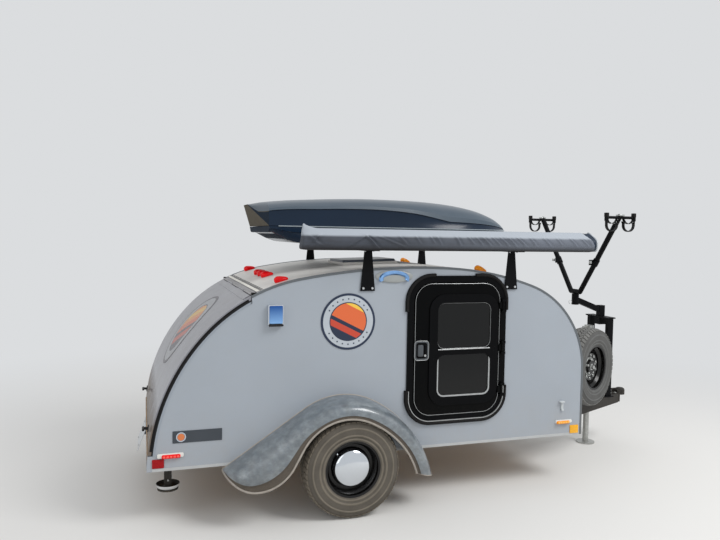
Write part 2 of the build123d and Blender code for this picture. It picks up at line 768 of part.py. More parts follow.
def cargo_box():
    whole = box_shape(0) - box_shape(BOX_WALL)
    lid = whole & block(0, 2 * BOX_FRONT, -BOX_WIDTH, BOX_WIDTH, BOX_SPLIT + BOX_SEAM / 2, ABOVE)
    base = whole & block(0, 2 * BOX_FRONT, -BOX_WIDTH, BOX_WIDTH, 0, BOX_SPLIT - BOX_SEAM / 2)
    y = BOX_WIDTH / 2
    for x in BOX_HINGES:
        lid += block(x - 20, x + 20, y - 5, BOX_AXIS_Y, BOX_SPLIT + 2, BOX_SPLIT + 6)
        lid += rod((x - 20, BOX_AXIS_Y, BOX_SPLIT), (x + 20, BOX_AXIS_Y, BOX_SPLIT), 12)
        lid -= rod((x - 21, BOX_AXIS_Y, BOX_SPLIT), (x + 21, BOX_AXIS_Y, BOX_SPLIT), 5 + 2 * PIN_FIT)
        base += rod((x - 32, BOX_AXIS_Y, BOX_SPLIT), (x + 32, BOX_AXIS_Y, BOX_SPLIT), 5)
        for x0 in (x - 32, x + 22):
            base += rod((x0, BOX_AXIS_Y, BOX_SPLIT), (x0 + 10, BOX_AXIS_Y, BOX_SPLIT), 12)
            base += block(x0, x0 + 10, y - 7, BOX_AXIS_Y + 6, BOX_SPLIT - 14, BOX_SPLIT - 4)
            base += block(x0, x0 + 10, BOX_AXIS_Y - 6, BOX_AXIS_Y + 6, BOX_SPLIT - 5, BOX_SPLIT)
    return base, lid


def awning():
    """A rolled awning in its bag: a rounded three-sided section."""
    y0 = HALF + TRIM + BRACKET_PLATE + 2
    y1 = y0 + AWNING_DEPTH
    z0 = RACK_Z + 0.3
    z1 = z0 + AWNING_HEIGHT
    ring = [
        (y0, z0 + 14),
        (y0, z1 - 6),
        (y0 + 14, z1),
        (y1 - 16, z1 - 44),
        (y1, z1 - 62),
        (y1 - 8, z0 + 8),
        (y1 - 24, z0),
        (y0 + 20, z0),
    ]
    corners = [(AWNING_REAR, -y, z) for y, z in ring]
    face = Face(Wire([Line(a, b) for a, b in zip(corners, corners[1:] + corners[:1])]))
    return extrude(face, amount=AWNING_FRONT - AWNING_REAR, dir=(1, 0, 0))


def vent():
    """Roof vent: a curb on the roof and a low lid on two pins at its front edge."""
    place = Pos(VENT_X, 0, roof_z(VENT_X)) * Rot(0, roof_slope(VENT_X), 0)
    half = VENT_SIZE / 2
    axis_x = half + VENT_PIN
    curb = Pos(0, 0, VENT_CURB - 20) * Box(VENT_SIZE, VENT_SIZE, 40)
    curb -= Box(VENT_SIZE - 2 * VENT_RIM, VENT_SIZE - 2 * VENT_RIM, 80)
    lid = Pos(0, 0, VENT_CURB + 0.5 + VENT_LID / 2) * Box(VENT_SIZE - 8, VENT_SIZE - 8, VENT_LID)
    lid = fillet(lid.edges().filter_by(Axis.Z), 40)
    lid = fillet(lid.faces().sort_by(Axis.Z)[-1].edges(), 10)
    for y in (-VENT_SIZE / 4, VENT_SIZE / 4):
        lid += block(half - 16, axis_x, y - 18, y + 18, VENT_CURB + 1.5, VENT_CURB + 5.5)
        lid += rod((axis_x, y - 18, VENT_PIN_Z), (axis_x, y + 18, VENT_PIN_Z), 12)
        lid -= rod((axis_x, y - 19, VENT_PIN_Z), (axis_x, y + 19, VENT_PIN_Z), 5 + 2 * PIN_FIT)
        curb += rod((axis_x, y - 28, VENT_PIN_Z), (axis_x, y + 28, VENT_PIN_Z), 5)
        for y0 in (y - 28, y + 20):
            curb += block(half - 2, axis_x + 6, y0, y0 + 8, VENT_PIN_Z - 12, VENT_PIN_Z + 6)
    return place * curb - body_profile(-0.2, -HALF, HALF), place * lid


def door(side):
    """Door leaf, its raised window surround and the glass."""
    out = side * (HALF + DOOR_PROUD)
    inside = side * (HALF + DOOR_PROUD - DOOR_THICK)
    leaf = door_hole(LEAF, inside, out)
    wx0, wx1 = WINDOW_X, WINDOW_X + WINDOW_WIDTH
    wz0, wz1 = WINDOW_Z, WINDOW_Z + WINDOW_HEIGHT
    hole = rounded(wx0, wx1, wz0, wz1, WINDOW_CORNER, side * (HALF - 60), side * (HALF + 60))
    leaf -= hole
    ring = rounded(wx0 - SURROUND, wx1 + SURROUND, wz0 - SURROUND, wz1 + SURROUND, WINDOW_CORNER + SURROUND, out, out + side * 9)
    middle = wz0 + WINDOW_HEIGHT * 0.48
    ring -= rounded(wx0 + 8, wx1 - 8, middle + 20, wz1 - 8, WINDOW_CORNER - 8, out - side, out + side * 20)
    ring -= rounded(wx0 + 8, wx1 - 8, wz0 + 8, middle - 20, WINDOW_CORNER - 8, out - side, out + side * 20)
    glass = rounded(wx0 + 1, wx1 - 1, wz0 + 1, wz1 - 1, WINDOW_CORNER - 1, out - side * (GLASS + 0.5), out - side * 0.5)
    for z in (DOOR_Z + 200, DOOR_Z + DOOR_HEIGHT / 2, DOOR_Z + DOOR_HEIGHT - 200):
        leaf += hinge_arm(side, z) - hinge_pin(side, z, HINGE_PIN_D + 2 * PIN_FIT)
    return leaf, ring, glass


DOOR_AXIS_X = DOOR_X + DOOR_WIDTH - DOOR_FLANGE + 10
DOOR_AXIS_Y = HALF + DOOR_AXIS_OUT


def hinge_pin(side, z, diameter):
    return Pos(DOOR_AXIS_X, side * DOOR_AXIS_Y, z) * Cylinder(diameter / 2, 90)


def hinge_arm(side, z):
    """The door's half of a hinge: a barrel on an arm from the leaf's face."""
    barrel = Pos(DOOR_AXIS_X, side * DOOR_AXIS_Y, z) * Cylinder(HINGE_BARREL_D / 2, 50)
    out = HALF + DOOR_PROUD
    arm = block(DOOR_AXIS_X - 27, DOOR_AXIS_X, side * out, side * (DOOR_AXIS_Y), z - 22, z + 22)
    arm &= block(DOOR_AXIS_X - 60, DOOR_AXIS_X + 1, side * (out - 1), side * (DOOR_AXIS_Y + HINGE_BARREL_D / 2), z - 25, z + 25)
    return barrel + arm


def door_frame(side):
    """Flange on the wall, jamb through it, and the fixed half of each hinge."""
    flange = door_hole(0, side * HALF, side * (HALF + FLANGE_PROUD)) - door_hole(
        DOOR_FLANGE, side * (HALF - 1), side * (HALF + 40)
    )
    jamb = door_hole(JAMB + 0.3, side * INNER, side * HALF) - door_hole(DOOR_FLANGE, side * (INNER - 1), side * (HALF + 1))
    whole = flange + jamb
    for z in (DOOR_Z + 200, DOOR_Z + DOOR_HEIGHT / 2, DOOR_Z + DOOR_HEIGHT - 200):
        whole += hinge_pin(side, z, HINGE_PIN_D)
        for end in (-1, 1):
            z0, z1 = sorted((z + end * 27, z + end * 45))
            whole += block(DOOR_AXIS_X - 8, DOOR_AXIS_X + 22, side * HALF, side * (DOOR_AXIS_Y + 7), z0, z1)
    return whole


def spare():
    """Centre of the spare wheel and the direction its outer face looks in."""
    return (SPARE_X, -rail_y(SPARE_X) - SPARE_OUT, RAIL_HEIGHT + 6 + TYRE_OD / 2)


def spare_carrier():
    x, y, z = spare()
    face = Vector(sin(radians(SPARE_TURN)), -cos(radians(SPARE_TURN)), 0)
    hub = Vector(x, y, z) + face * 17
    post = Vector(x, y, 0) - face * 116
    whole = rod(tuple(Vector(post.X, post.Y, z)), tuple(hub), 50)
    upright = Pos(post.X, post.Y, (z + 40 + 20) / 2) * Rot(0, 0, TONGUE_ANGLE) * Box(50, 50, z + 40 - 20)
    whole += upright
    rail = (post.X - 10, -rail_y(post.X - 10) + 22, 48)
    whole += bar((post.X, post.Y, 48), rail, 46, 40)
    nut = rod(tuple(hub), tuple(hub + face * 30), 26)
    return whole + nut - tongue()


def tower():
    """Two uprights on the rails, a plate across them, the receiver and the stub that holds the arm."""
    whole = block(TOWER_X - 40, TOWER_X + 40, -TOWER_SPREAD - 26, TOWER_SPREAD + 26, TOWER_TOP - 10, TOWER_TOP)
    for side in (-1, 1):
        y = side * TOWER_SPREAD
        whole += block(TOWER_X - 25, TOWER_X + 25, y - TOWER_BAR / 2, y + TOWER_BAR / 2, RAIL_HEIGHT, TOWER_TOP - 10)
        whole += block(TOWER_X - 44, TOWER_X + 44, y - 30, y + 30, RAIL_HEIGHT, RAIL_HEIGHT + 8)
    whole += block(TOWER_X - 32, TOWER_X + 32, -32, 32, TOWER_TOP - 70, TOWER_TOP - 10)
    whole += block(TOWER_X - ARM_TUBE / 2, TOWER_X + ARM_TUBE / 2, -ARM_TUBE / 2, ARM_TUBE / 2, TOWER_TOP, TOWER_TOP + 90)
    return whole


def rack_arm():
    """The square arm that reaches back from the tower to the mast's sleeve."""
    arm = bar((TOWER_X - ARM_TUBE / 2, 0, TOWER_TOP + 56), (MAST_X, 0, SLEEVE_Z + 44), ARM_TUBE - 6, ARM_TUBE - 6)
    sleeve = Pos(MAST_X, 0, SLEEVE_Z + SLEEVE_HEIGHT / 2) * Cylinder(29, SLEEVE_HEIGHT)
    bore = Pos(MAST_X, 0, SLEEVE_Z + SLEEVE_HEIGHT / 2) * Cylinder(22.2, SLEEVE_HEIGHT + 2)
    whole = arm + sleeve - bore
    return whole & block(MAST_X - 60, TOWER_X - ARM_TUBE / 2, -100, 100, 0, ABOVE)


def mast():
    """A stub in the sleeve, a base and two arms with clamps, and a cradle with two straps at each tip."""
    whole = Pos(MAST_X, 0, (SLEEVE_Z + MAST_BOTTOM_Z) / 2) * Cylinder(22, MAST_BOTTOM_Z - SLEEVE_Z)
    whole += rod((MAST_X, -MAST_BASE_Y, MAST_BOTTOM_Z), (MAST_X, MAST_BASE_Y, MAST_BOTTOM_Z), MAST_TUBE)
    cradle_z = MAST_TOP_Z - 16
    for side in (-1, 1):
        base = Vector(MAST_X, side * MAST_BASE_Y, MAST_BOTTOM_Z)
        tip = Vector(MAST_X, side * MAST_TIP_Y, MAST_TOP_Z)
        clamp = [tuple(base + (tip - base) * part) for part in (0.37, 0.44)]
        whole += Pos(base) * Sphere(MAST_TUBE / 2)
        whole += rod(tuple(base), tuple(tip), MAST_TUBE)
        whole += rod(*clamp, MAST_TUBE + 12)
        whole += block(MAST_X - 44, MAST_X, clamp[0][1] - 9, clamp[0][1] + 9, clamp[0][2], clamp[1][2])
        whole += rod((MAST_X - CRADLE, tip.Y, cradle_z), (MAST_X + CRADLE, tip.Y, cradle_z), 22)
        for end in (-1, 1):
            x = MAST_X + end * CRADLE
            whole += block(x - 9, x + 9, tip.Y - 14, tip.Y + 14, cradle_z - 26, cradle_z + 28)
            strap = Cylinder(STRAP_R, 26) - Cylinder(STRAP_R - 5, 28)
            strap = Pos(x - end * STRAP_R, tip.Y, cradle_z) * Rot(90, 0, 0) * strap
            whole += strap & block(MAST_X - 200, MAST_X + 200, -ABOVE, ABOVE, 0, cradle_z)
    return whole


def jack():
    """The tongue jack: its tube with a gear head and crank, and the leg with its round foot."""
    head_z = 640
    body = Pos(JACK_X, 0, (head_z - 30) / 2) * Cylinder(JACK_TUBE_D / 2, head_z + 30)
    body -= Pos(JACK_X, 0, 255) * Cylinder(JACK_LEG_D / 2 + 1, 600)
    body += Pos(JACK_X, 0, head_z) * Cylinder(38, 50)
    body += rod((JACK_X, 20, head_z), (JACK_X, 84, head_z), 14)
    body += rod((JACK_X, 78, head_z), (JACK_X, 78, head_z - 130), 12)
    body += rod((JACK_X, 72, head_z - 130), (JACK_X, 150, head_z - 130), 24)
    leg = Pos(JACK_X, 0, (GROUND + 8 + 260) / 2) * Cylinder(JACK_LEG_D / 2, 260 - GROUND - 8)
    leg += Pos(JACK_X, 0, GROUND + 5) * Cylinder(JACK_FOOT_D / 2, 10)
    return body, leg


def stabiliser_tube(side):
    """The square tube of a drop leg, welded inside the frame's rail."""
    y = side * STABILISER_Y
    rail = side * (INNER - 4 - RAIL_WIDTH)
    body = block(STABILISER_X - 22, STABILISER_X + 22, y - 22, y + 22, STABILISER_TUBE_Z, FLOOR_Z - 2)
    body += block(STABILISER_X - 32, STABILISER_X + 32, y, rail, 10, 60)
    return body - block(STABILISER_X - 18, STABILISER_X + 18, y - 18, y + 18, STABILISER_TUBE_Z - 5, FLOOR_Z - 6)


def stabiliser_leg(side):
    """The leg in that tube, with its dished foot."""
    y = side * STABILISER_Y
    half = 17.5
    leg = block(STABILISER_X - half, STABILISER_X + half, y - half, y + half, STABILISER_FOOT_Z + 6, FLOOR_Z - 10)
    return leg + Pos(STABILISER_X, y, STABILISER_FOOT_Z + 5) * Cylinder(STABILISER_FOOT_D / 2, 10)


def licence_plate():
    """A blank plate on a bent bracket below the hatch."""
    plate = Pos(-28, 0, 12) * Rot(0, PLATE_TILT, 0) * Box(3, PLATE_WIDTH, PLATE_HEIGHT)
    return plate + block(-24, 0, -60, 60, 22, 26)


def main():
    os.makedirs("parts", exist_ok=True)
    save("chassis_frame", chassis())
    save("tongue", tongue())
    save("coupler", coupler())
    save("axle", axle())
    save("floor", floor())
    save("roof_shell", roof_shell())
    save("bulkhead", bulkhead())
    save("galley_cabinet", galley())
    save("mattress", mattress())
    save("edge_trims", edge_trims())
    save("hatch_seals", hatch_seals())
    save("hatch_hinge", hatch_hinge())
    save("hatch_panel", hatch_panel())
    save("hatch_leaf", hatch_leaf())
    save("roof_rack", roof_rack())
    base, lid = cargo_box()
    save("box_base", base)
    save("box_lid", lid)
    save("awning_bag", awning())
    base, lid = vent()
    save("vent_base", base)
    save("vent_lid", lid)
    for name, side in SIDES:
        save(f"side_wall_{name}", side_wall(side))
        leaf, ring, glass = door(side)
        save(f"door_{name}", leaf)
        save(f"door_window_{name}", ring)
        save(f"door_glass_{name}", glass)
        spin = 0 if side < 0 else 180
        place = (AXLE_X, side * WHEEL_Y, HUB_Z)
        save(f"tyre_{name}", tyre(*place, spin))
        save(f"wheel_{name}", rim(*place, spin, SPINDLE_D / 2 + 0.05))
        save(f"wheel_cap_{name}", cap(*place, spin))
        save(f"stabiliser_leg_{name}", stabiliser_leg(side))
    sides = [side for name, side in SIDES]
    save("fenders", [fender(side) for side in sides])
    save("door_frames", [door_frame(side) for side in sides])
    save("stabiliser_tubes", [stabiliser_tube(side) for side in sides])
    place = spare()
    save("spare_tyre", tyre(*place, SPARE_TURN))
    save("spare_wheel", rim(*place, SPARE_TURN, 25.1))
    save("spare_carrier", spare_carrier())
    save("rack_tower", tower())
    save("rack_arm", rack_arm())
    save("rack_mast", mast())
    body, leg = jack()
    save("jack_tube", body)
    save("jack_leg", leg)
    reds = side_plates([(58, 208, 76, 104, 8), (30, 97, 20, 72, 3)], 14)
    ambers = side_plates([(2742, 2873, 88, 114, 8), (2841, 2931, 12, 74, 3)], 14)
    reds += [clearance_lamp(800, y) for y in (105 - HALF, -150, 0, 150, HALF - 105)]
    ambers += [clearance_lamp(2160, y) for y in (72 - HALF, HALF - 72)]
    save("red_lamps", reds)
    save("amber_lamps", ambers)
    save("side_lights", side_plates([(697, 793, 834, 967, 29)], 40) + oval_lamps(1393, 1630, 1090, 1172, 40))
    save("name_plates", side_plates([(145, 430, 160, 231, 2)], 3))
    badges = [Pos(1208, side * (HALF + 1.5), 851) * Rot(90, 0, 0) * Cylinder(178, 3) for side in (-1, 1)]
    save("side_badges", badges)
    save("licence_plate", licence_plate())


main()
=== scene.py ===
from math import cos, exp, pi, radians, sin

import bmesh
import bpy
from mathutils import Matrix, Vector, noise


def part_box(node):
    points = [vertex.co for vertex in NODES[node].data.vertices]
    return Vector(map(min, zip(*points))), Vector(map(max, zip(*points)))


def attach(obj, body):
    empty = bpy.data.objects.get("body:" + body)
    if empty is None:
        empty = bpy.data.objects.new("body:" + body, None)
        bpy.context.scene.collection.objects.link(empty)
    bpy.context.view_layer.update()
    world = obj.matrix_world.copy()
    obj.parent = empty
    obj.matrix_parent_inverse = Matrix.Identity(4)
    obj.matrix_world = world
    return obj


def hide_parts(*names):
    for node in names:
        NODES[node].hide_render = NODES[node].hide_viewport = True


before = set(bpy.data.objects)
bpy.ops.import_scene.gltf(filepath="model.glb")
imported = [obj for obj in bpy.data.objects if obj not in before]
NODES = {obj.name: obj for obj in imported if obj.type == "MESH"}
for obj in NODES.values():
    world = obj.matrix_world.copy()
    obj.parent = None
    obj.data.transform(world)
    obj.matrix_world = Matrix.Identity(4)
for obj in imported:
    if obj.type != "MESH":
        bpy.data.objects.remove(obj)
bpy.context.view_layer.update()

# Chassis, tongue, coupler and axle: a ladder frame of welded steel tube with an A-frame tongue, in brushed
# black enamel. The road has dulled it and browned it with dust, the more the nearer the ground.
UP = (0, 0, 1)


def linear(colour):
    """The linear values of an sRGB hex colour."""
    channels = [int(colour[k:k + 2], 16) / 255 for k in (1, 3, 5)]
    return [c / 12.92 if c <= 0.04045 else ((c + 0.055) / 1.055) ** 2.4 for c in channels] + [1.0]


def add(tree, kind, inputs=None, **settings):
    """Adds a node, with its settings and with its inputs linked or set."""
    node = tree.nodes.new(kind)
    for name, value in settings.items():
        setattr(node, name, value)
    for name, value in (inputs or {}).items():
        if isinstance(value, bpy.types.NodeSocket):
            tree.links.new(value, node.inputs[name])
        else:
            node.inputs[name].default_value = value
    return node


def weathered(name, colour, roughness, metallic=0.0, coat=0.0, patch=7.0, varies=0.05, grain=0.0, depth=0.0,
              dust="#a8977f", dusty=0.0, low_dust=0.0, shine=0.5):
    """A finish that varies in patches, has a fine grain, and is dusty all over or up to a height.

    patch and grain are in features per metre, depth is the grain's relief in metres, low_dust is the
    share of dust at the ground, which fades out 0.7 m above it, and shine is the specular level."""
    made = bpy.data.materials.new(name)
    made.use_nodes = True
    tree = made.node_tree
    shader = tree.nodes["Principled BSDF"]
    place = add(tree, "ShaderNodeTexCoord").outputs["Object"]
    cloud = add(tree, "ShaderNodeTexNoise", {"Vector": place, "Scale": patch, "Detail": 5.0})
    shade = add(tree, "ShaderNodeMapRange", {"Value": cloud.outputs["Fac"], "From Min": 0.3, "From Max": 0.7,
                                             "To Min": 1 - varies, "To Max": 1 + varies})
    tint = add(tree, "ShaderNodeVectorMath", {0: linear(colour)[:3], "Scale": shade.outputs["Result"]},
               operation="SCALE")
    height = add(tree, "ShaderNodeSeparateXYZ", {"Vector": place}).outputs["Z"]
    fade = add(tree, "ShaderNodeMapRange", {"Value": height, "From Min": -0.4, "From Max": 0.3,
                                            "To Min": low_dust + dusty, "To Max": dusty})
    speck = add(tree, "ShaderNodeTexNoise", {"Vector": place, "Scale": patch * 6, "Detail": 8.0,
                                             "Roughness": 0.7})
    gather = add(tree, "ShaderNodeMapRange", {"Value": speck.outputs["Fac"], "From Min": 0.35,
                                              "From Max": 0.65, "To Min": 0.45, "To Max": 1.5})
    share = add(tree, "ShaderNodeMath", {0: fade.outputs["Result"], 1: gather.outputs["Result"]},
                operation="MULTIPLY", use_clamp=True)
    mixed = add(tree, "ShaderNodeMix", {0: share.outputs[0], 6: tint.outputs[0], 7: linear(dust)},
                data_type="RGBA")
    tree.links.new(mixed.outputs[2], shader.inputs["Base Color"])
    for socket, value in (("Roughness", roughness), ("Metallic", metallic), ("Coat Weight", coat),
                          ("Coat Roughness", 0.06), ("Specular IOR Level", shine)):
        shader.inputs[socket].default_value = value
    if dusty or low_dust:
        rough = add(tree, "ShaderNodeMapRange", {"Value": share.outputs[0], "From Min": 0.0, "From Max": 0.6,
                                                 "To Min": roughness, "To Max": max(roughness, 0.85)})
        tree.links.new(rough.outputs["Result"], shader.inputs["Roughness"])
    if depth:
        fine = add(tree, "ShaderNodeTexNoise", {"Vector": place, "Scale": grain, "Detail": 4.0})
        bump = add(tree, "ShaderNodeBump", {"Height": fine.outputs["Fac"], "Distance": depth,
                                            "Strength": 1.0})
        tree.links.new(bump.outputs["Normal"], shader.inputs["Normal"])
    return made


def dress(material, *names):
    """Gives a material to CAD parts that are shown as they are."""
    for name in names:
        data = NODES[name].data
        data.materials.clear()
        data.materials.append(material)


def into(mesh, part, index=0):
    """Adds a finished part to a mesh, in the material slot of that index."""
    for face in part.faces:
        face.material_index = index
    data = bpy.data.meshes.new("part")
    part.to_mesh(data)
    part.free()
    mesh.from_mesh(data)
    bpy.data.meshes.remove(data)


def turned(mesh, profile, place, facing, steps=64, index=0):
    """A profile of (radius, offset) in millimetres spun about the line through place along facing."""
    turn = Vector(facing).to_track_quat("Z", "Y")
    part = bmesh.new()
    line = [part.verts.new(place + turn @ Vector((radius, 0, offset)) / 1000) for radius, offset in profile]
    for a, b in zip(line, line[1:]):
        part.edges.new((a, b))
    bmesh.ops.spin(part, geom=part.verts[:] + part.edges[:], cent=place, axis=turn @ Vector((0, 0, 1)),
                   angle=2 * pi, steps=steps, use_merge=True)
    bmesh.ops.remove_doubles(part, verts=part.verts, dist=1e-6)
    into(mesh, part, index)


def stud(mesh, place, facing, radius, length, index=0, steps=20):
    """A short round pin or screw head that stands on a place, its edge rounded."""
    edge = min(radius, length) * 0.3
    profile = [(0, 0), (radius, 0), (radius, length - edge), (radius - edge, length), (0, length)]
    turned(mesh, profile, place, facing, steps, index)


def piece(name, mesh, body, materials, sharp=35, instead=()):
    """Turns a mesh into a shown piece that rides on a body and may stand for CAD nodes."""
    bmesh.ops.remove_doubles(mesh, verts=mesh.verts, dist=1e-5)
    bmesh.ops.recalc_face_normals(mesh, faces=mesh.faces)
    data = bpy.data.meshes.new(name)
    mesh.to_mesh(data)
    mesh.free()
    for entry in materials:
        data.materials.append(entry)
    data.shade_smooth()
    data.set_sharp_from_angle(angle=radians(sharp))
    made = bpy.data.objects.new(name, data)
    bpy.context.scene.collection.objects.link(made)
    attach(made, body)
    if instead:
        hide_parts(*instead)
    return made


# Enamel brushed over mill scale: dull, uneven, and tan with dust below. Inside the stabiliser dishes it is
# painted shade.
black_enamel_and_dish_shade = weathered("brushed_black_enamel_and_painted_dish_shade", "#131416", 0.5, patch=12, varies=0.15, grain=500,
                         depth=0.00006, dusty=0.03, low_dust=0.25, dust="#6f6557", shine=0.3)
# Hot-dip zinc: a bright grey with spangles about 15 mm across.
zinc = weathered("hot_dip_zinc_on_steel", "#b2b4b2", 0.36, metallic=0.75, patch=60, varies=0.18, low_dust=0.1)
dress(black_enamel_and_dish_shade, "chassis_frame", "tongue", "coupler", "axle", "stabiliser_tubes", "spare_carrier")
# top of the coupler's arms over the tongue, in metres from the ball's middle
COUPLER_TOP = 0.0079
mesh = bmesh.new()
for x in (-0.085, -0.135):
    for y in (-0.046, 0.046):
        spot = Vector((x, y, COUPLER_TOP))
        stud(mesh, spot, UP, 8, 7, steps=6)
        turned(mesh, [(0, 0), (13, 0), (13, 2), (0, 2)], spot, UP, 24)
piece("coupler_bolts", mesh, "trailer", [zinc])

# Stabiliser legs: square tube that drops from a sleeve welded to the frame, held by a cross pin, on a
# round dished foot pressed from plated steel.
# Bright zinc plate: a pale even grey with a soft gleam, dusty below.
bright_plate = weathered("bright_zinc_plate_on_pressed_steel", "#cfd1d2", 0.35, metallic=0.3, patch=30,
                         varies=0.08, low_dust=0.1)
dress(black_enamel_and_dish_shade, "stabiliser_leg_right", "stabiliser_leg_left")
SIDES = (("right", -1), ("left", 1))
# the dish's outer and inner skin, as radius and height; the inner skin takes black enamel as painted shade
DISH_UNDER = ((18, 2), (30, 0), (50, 0), (60, 3), (66, 10), (69, 22), (70, 25))
DISH_INSIDE = ((70, 25), (68.5, 25.5), (66, 20), (62, 9), (52, 4), (34, 5), (26, 9), (20, 14))
for name, side in SIDES:
    low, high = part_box(f"stabiliser_leg_{name}")
    foot = Vector(((low[0] + high[0]) / 2, (low[1] + high[1]) / 2, low[2] + 0.010))
    mesh = bmesh.new()
    turned(mesh, DISH_UNDER, foot, UP, 48)
    # the dish's hollow is drawn black: painted shade
    turned(mesh, DISH_INSIDE, foot, UP, 48, index=1)
    piece(f"stabiliser_dish_{name}", mesh, f"{name}_leg", [bright_plate, black_enamel_and_dish_shade])
    mesh = bmesh.new()
    pin_end = foot + Vector((0, -0.036, 0.052))
    stud(mesh, pin_end, (0, 1, 0), 5, 72)
    turned(mesh, [(5, 66), (11, 66), (11, 70), (5, 70)], pin_end, (0, 1, 0), 24)
    piece(f"stabiliser_pin_{name}", mesh, "trailer", [zinc])

# Floor, bulkhead and galley: panels of clear-varnished birch plywood, glued and screwed to each other. The
# mattress is a foam slab in a woven cover, laid loose on the floor, and it swells a little between its edges.


def drawn_streaks(material, colour, share, stretch, scale):
    """Lays long streaks of a colour over a finish; stretch is the pattern's scale along X, Y and Z."""
    tree = material.node_tree
    shader = tree.nodes["Principled BSDF"]
    under = shader.inputs["Base Color"].links[0].from_socket
    place = add(tree, "ShaderNodeTexCoord").outputs["Object"]
    drawn = add(tree, "ShaderNodeMapping", {"Vector": place, "Scale": stretch}).outputs[0]
    cloud = add(tree, "ShaderNodeTexNoise", {"Vector": drawn, "Scale": scale, "Detail": 7.0,
                                             "Roughness": 0.62})
    level = add(tree, "ShaderNodeMapRange", {"Value": cloud.outputs["Fac"], "From Min": 0.42,
                                             "From Max": 0.68, "To Min": 0.0, "To Max": share})
    mixed = add(tree, "ShaderNodeMix", {0: level.outputs["Result"], 6: under, 7: linear(colour)},
                data_type="RGBA")
    tree.links.new(mixed.outputs[2], shader.inputs["Base Color"])


# Birch: pale tan veneer with long brown grain that runs along each panel.
birch = weathered("clear_varnished_birch_plywood", "#c09a67", 0.45, patch=5, varies=0.08)
drawn_streaks(birch, "#946c3f", 0.75, (1.0, 9.0, 9.0), 9.0)
dress(birch, "floor", "bulkhead", "galley_cabinet")


def settle(made, voxel, pressure, cap):
    """Remeshes a padded piece, lets Cloth swell it by at most cap metres at any point, and refines it."""
    data, scene = made.data, bpy.context.scene
    remesh = made.modifiers.new("voxels", "REMESH")
    remesh.mode = "VOXEL"
    remesh.voxel_size = voxel
    shell = bpy.data.meshes.new_from_object(made.evaluated_get(bpy.context.evaluated_depsgraph_get()))
    made.modifiers.clear()
    made.data = shell
    start = [vert.co.copy() for vert in shell.vertices]
    cloth = made.modifiers.new("swell", "CLOTH")
    cloth.settings.use_pressure = True
    cloth.settings.uniform_pressure_force = pressure
    cloth.settings.effector_weights.gravity = 0
    for step in range(1, 15):
        scene.frame_set(step)
    swollen = made.evaluated_get(bpy.context.evaluated_depsgraph_get()).data
    moved = [vert.co.copy() for vert in swollen.vertices]
    made.modifiers.clear()
    scene.frame_set(1)
    for vert, a, b in zip(shell.vertices, start, moved):
        vert.co = a + (b - a) * min(1.0, cap / max((b - a).length, 1e-9))
    finer = made.modifiers.new("refined", "SUBSURF")
    finer.levels = finer.render_levels = 1
    made.data = bpy.data.meshes.new_from_object(made.evaluated_get(bpy.context.evaluated_depsgraph_get()))
    made.modifiers.clear()
    made.data.materials.clear()
    for entry in data.materials:
        made.data.materials.append(entry)
    made.data.shade_smooth()
    bpy.data.meshes.remove(shell)


# Woven ticking: matt slate threads about 1 mm apart, drawn at 4 mm so that they show.
ticking = weathered("woven_mattress_ticking", "#767b86", 0.9, patch=30, varies=0.08, grain=250, depth=0.0004)
pad_low, pad_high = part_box("mattress")
mesh = bmesh.new()
# the slab starts 6 mm smaller on each side, which leaves room to swell
slab = Matrix.Translation((Vector(pad_low) + Vector(pad_high)) / 2)
slab = slab @ Matrix.Diagonal([b - a - 0.012 for a, b in zip(pad_low, pad_high)] + [1])
bmesh.ops.create_cube(mesh, size=1, matrix=slab)
bmesh.ops.bevel(mesh, geom=mesh.edges[:], offset=0.03, segments=4, profile=0.5, affect="EDGES", material=-1)
mattress = piece("mattress_cover", mesh, "trailer", [ticking], sharp=50, instead=["mattress"])
settle(mattress, 0.02, 2.0, 0.004)

# Side walls, roof and front: aluminium sheet over the frame, in a factory grey enamel. The walls are satin,
# and the roof has chalked paler, with streaks of dust that rain has drawn backwards. A strip of the walls'
# sheet covers the floor's rear sill.
# the body's rear and foot in metres, and half its width over the walls in millimetres
REAR, WALL_FACE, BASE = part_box("side_wall_right")[0]
HALF = -WALL_FACE * 1000


def at(x, y, z):
    """A place in metres, given in millimetres from the body's rear bottom corner."""
    return Vector((REAR + x / 1000, y / 1000, BASE + z / 1000))


def brick(mesh, x0, x1, y0, y1, z0, z1, edge=1.5, index=0):
    """A box between two corners in millimetres, its edges rounded."""
    middle = at((x0 + x1) / 2, (y0 + y1) / 2, (z0 + z1) / 2)
    size = Matrix.Diagonal((abs(x1 - x0) / 1000, abs(y1 - y0) / 1000, abs(z1 - z0) / 1000, 1))
    part = bmesh.new()
    bmesh.ops.create_cube(part, size=1, matrix=Matrix.Translation(middle) @ size)
    if edge:
        bmesh.ops.bevel(part, geom=part.edges[:], offset=edge / 1000, segments=2, profile=0.5, affect="EDGES",
                        material=-1)
    into(mesh, part, index)


# Enamel on flat sheet: an even cool grey with faint orange peel about 1 mm across.
wall_enamel = weathered("satin_enamel_on_aluminium_sheet", "#9ea6af", 0.42, coat=0.12, patch=2.5,
                        varies=0.025, grain=900, depth=0.00002, dusty=0.03, low_dust=0.14)
dress(wall_enamel, "side_wall_right", "side_wall_left")
# Chalked enamel: paler and rougher, with warm dust lying along the slope.
roof_enamel = weathered("chalked_enamel_on_roof_sheet", "#dad8d4", 0.45, patch=3.0, varies=0.04, grain=300,
                        depth=0.00005, dusty=0.07, dust="#cbbfae")
drawn_streaks(roof_enamel, "#efece4", 0.35, (0.4, 5.0, 0.4), 4.0)
dress(roof_enamel, "roof_shell", "vent_base")
# from wall to wall, less the trims, and up to the hatch's foot
mesh = bmesh.new()
brick(mesh, -0.8, 1, 38 - HALF, HALF - 38, 1, 91, 0)
piece("rear_sill_skin", mesh, "trailer", [wall_enamel])
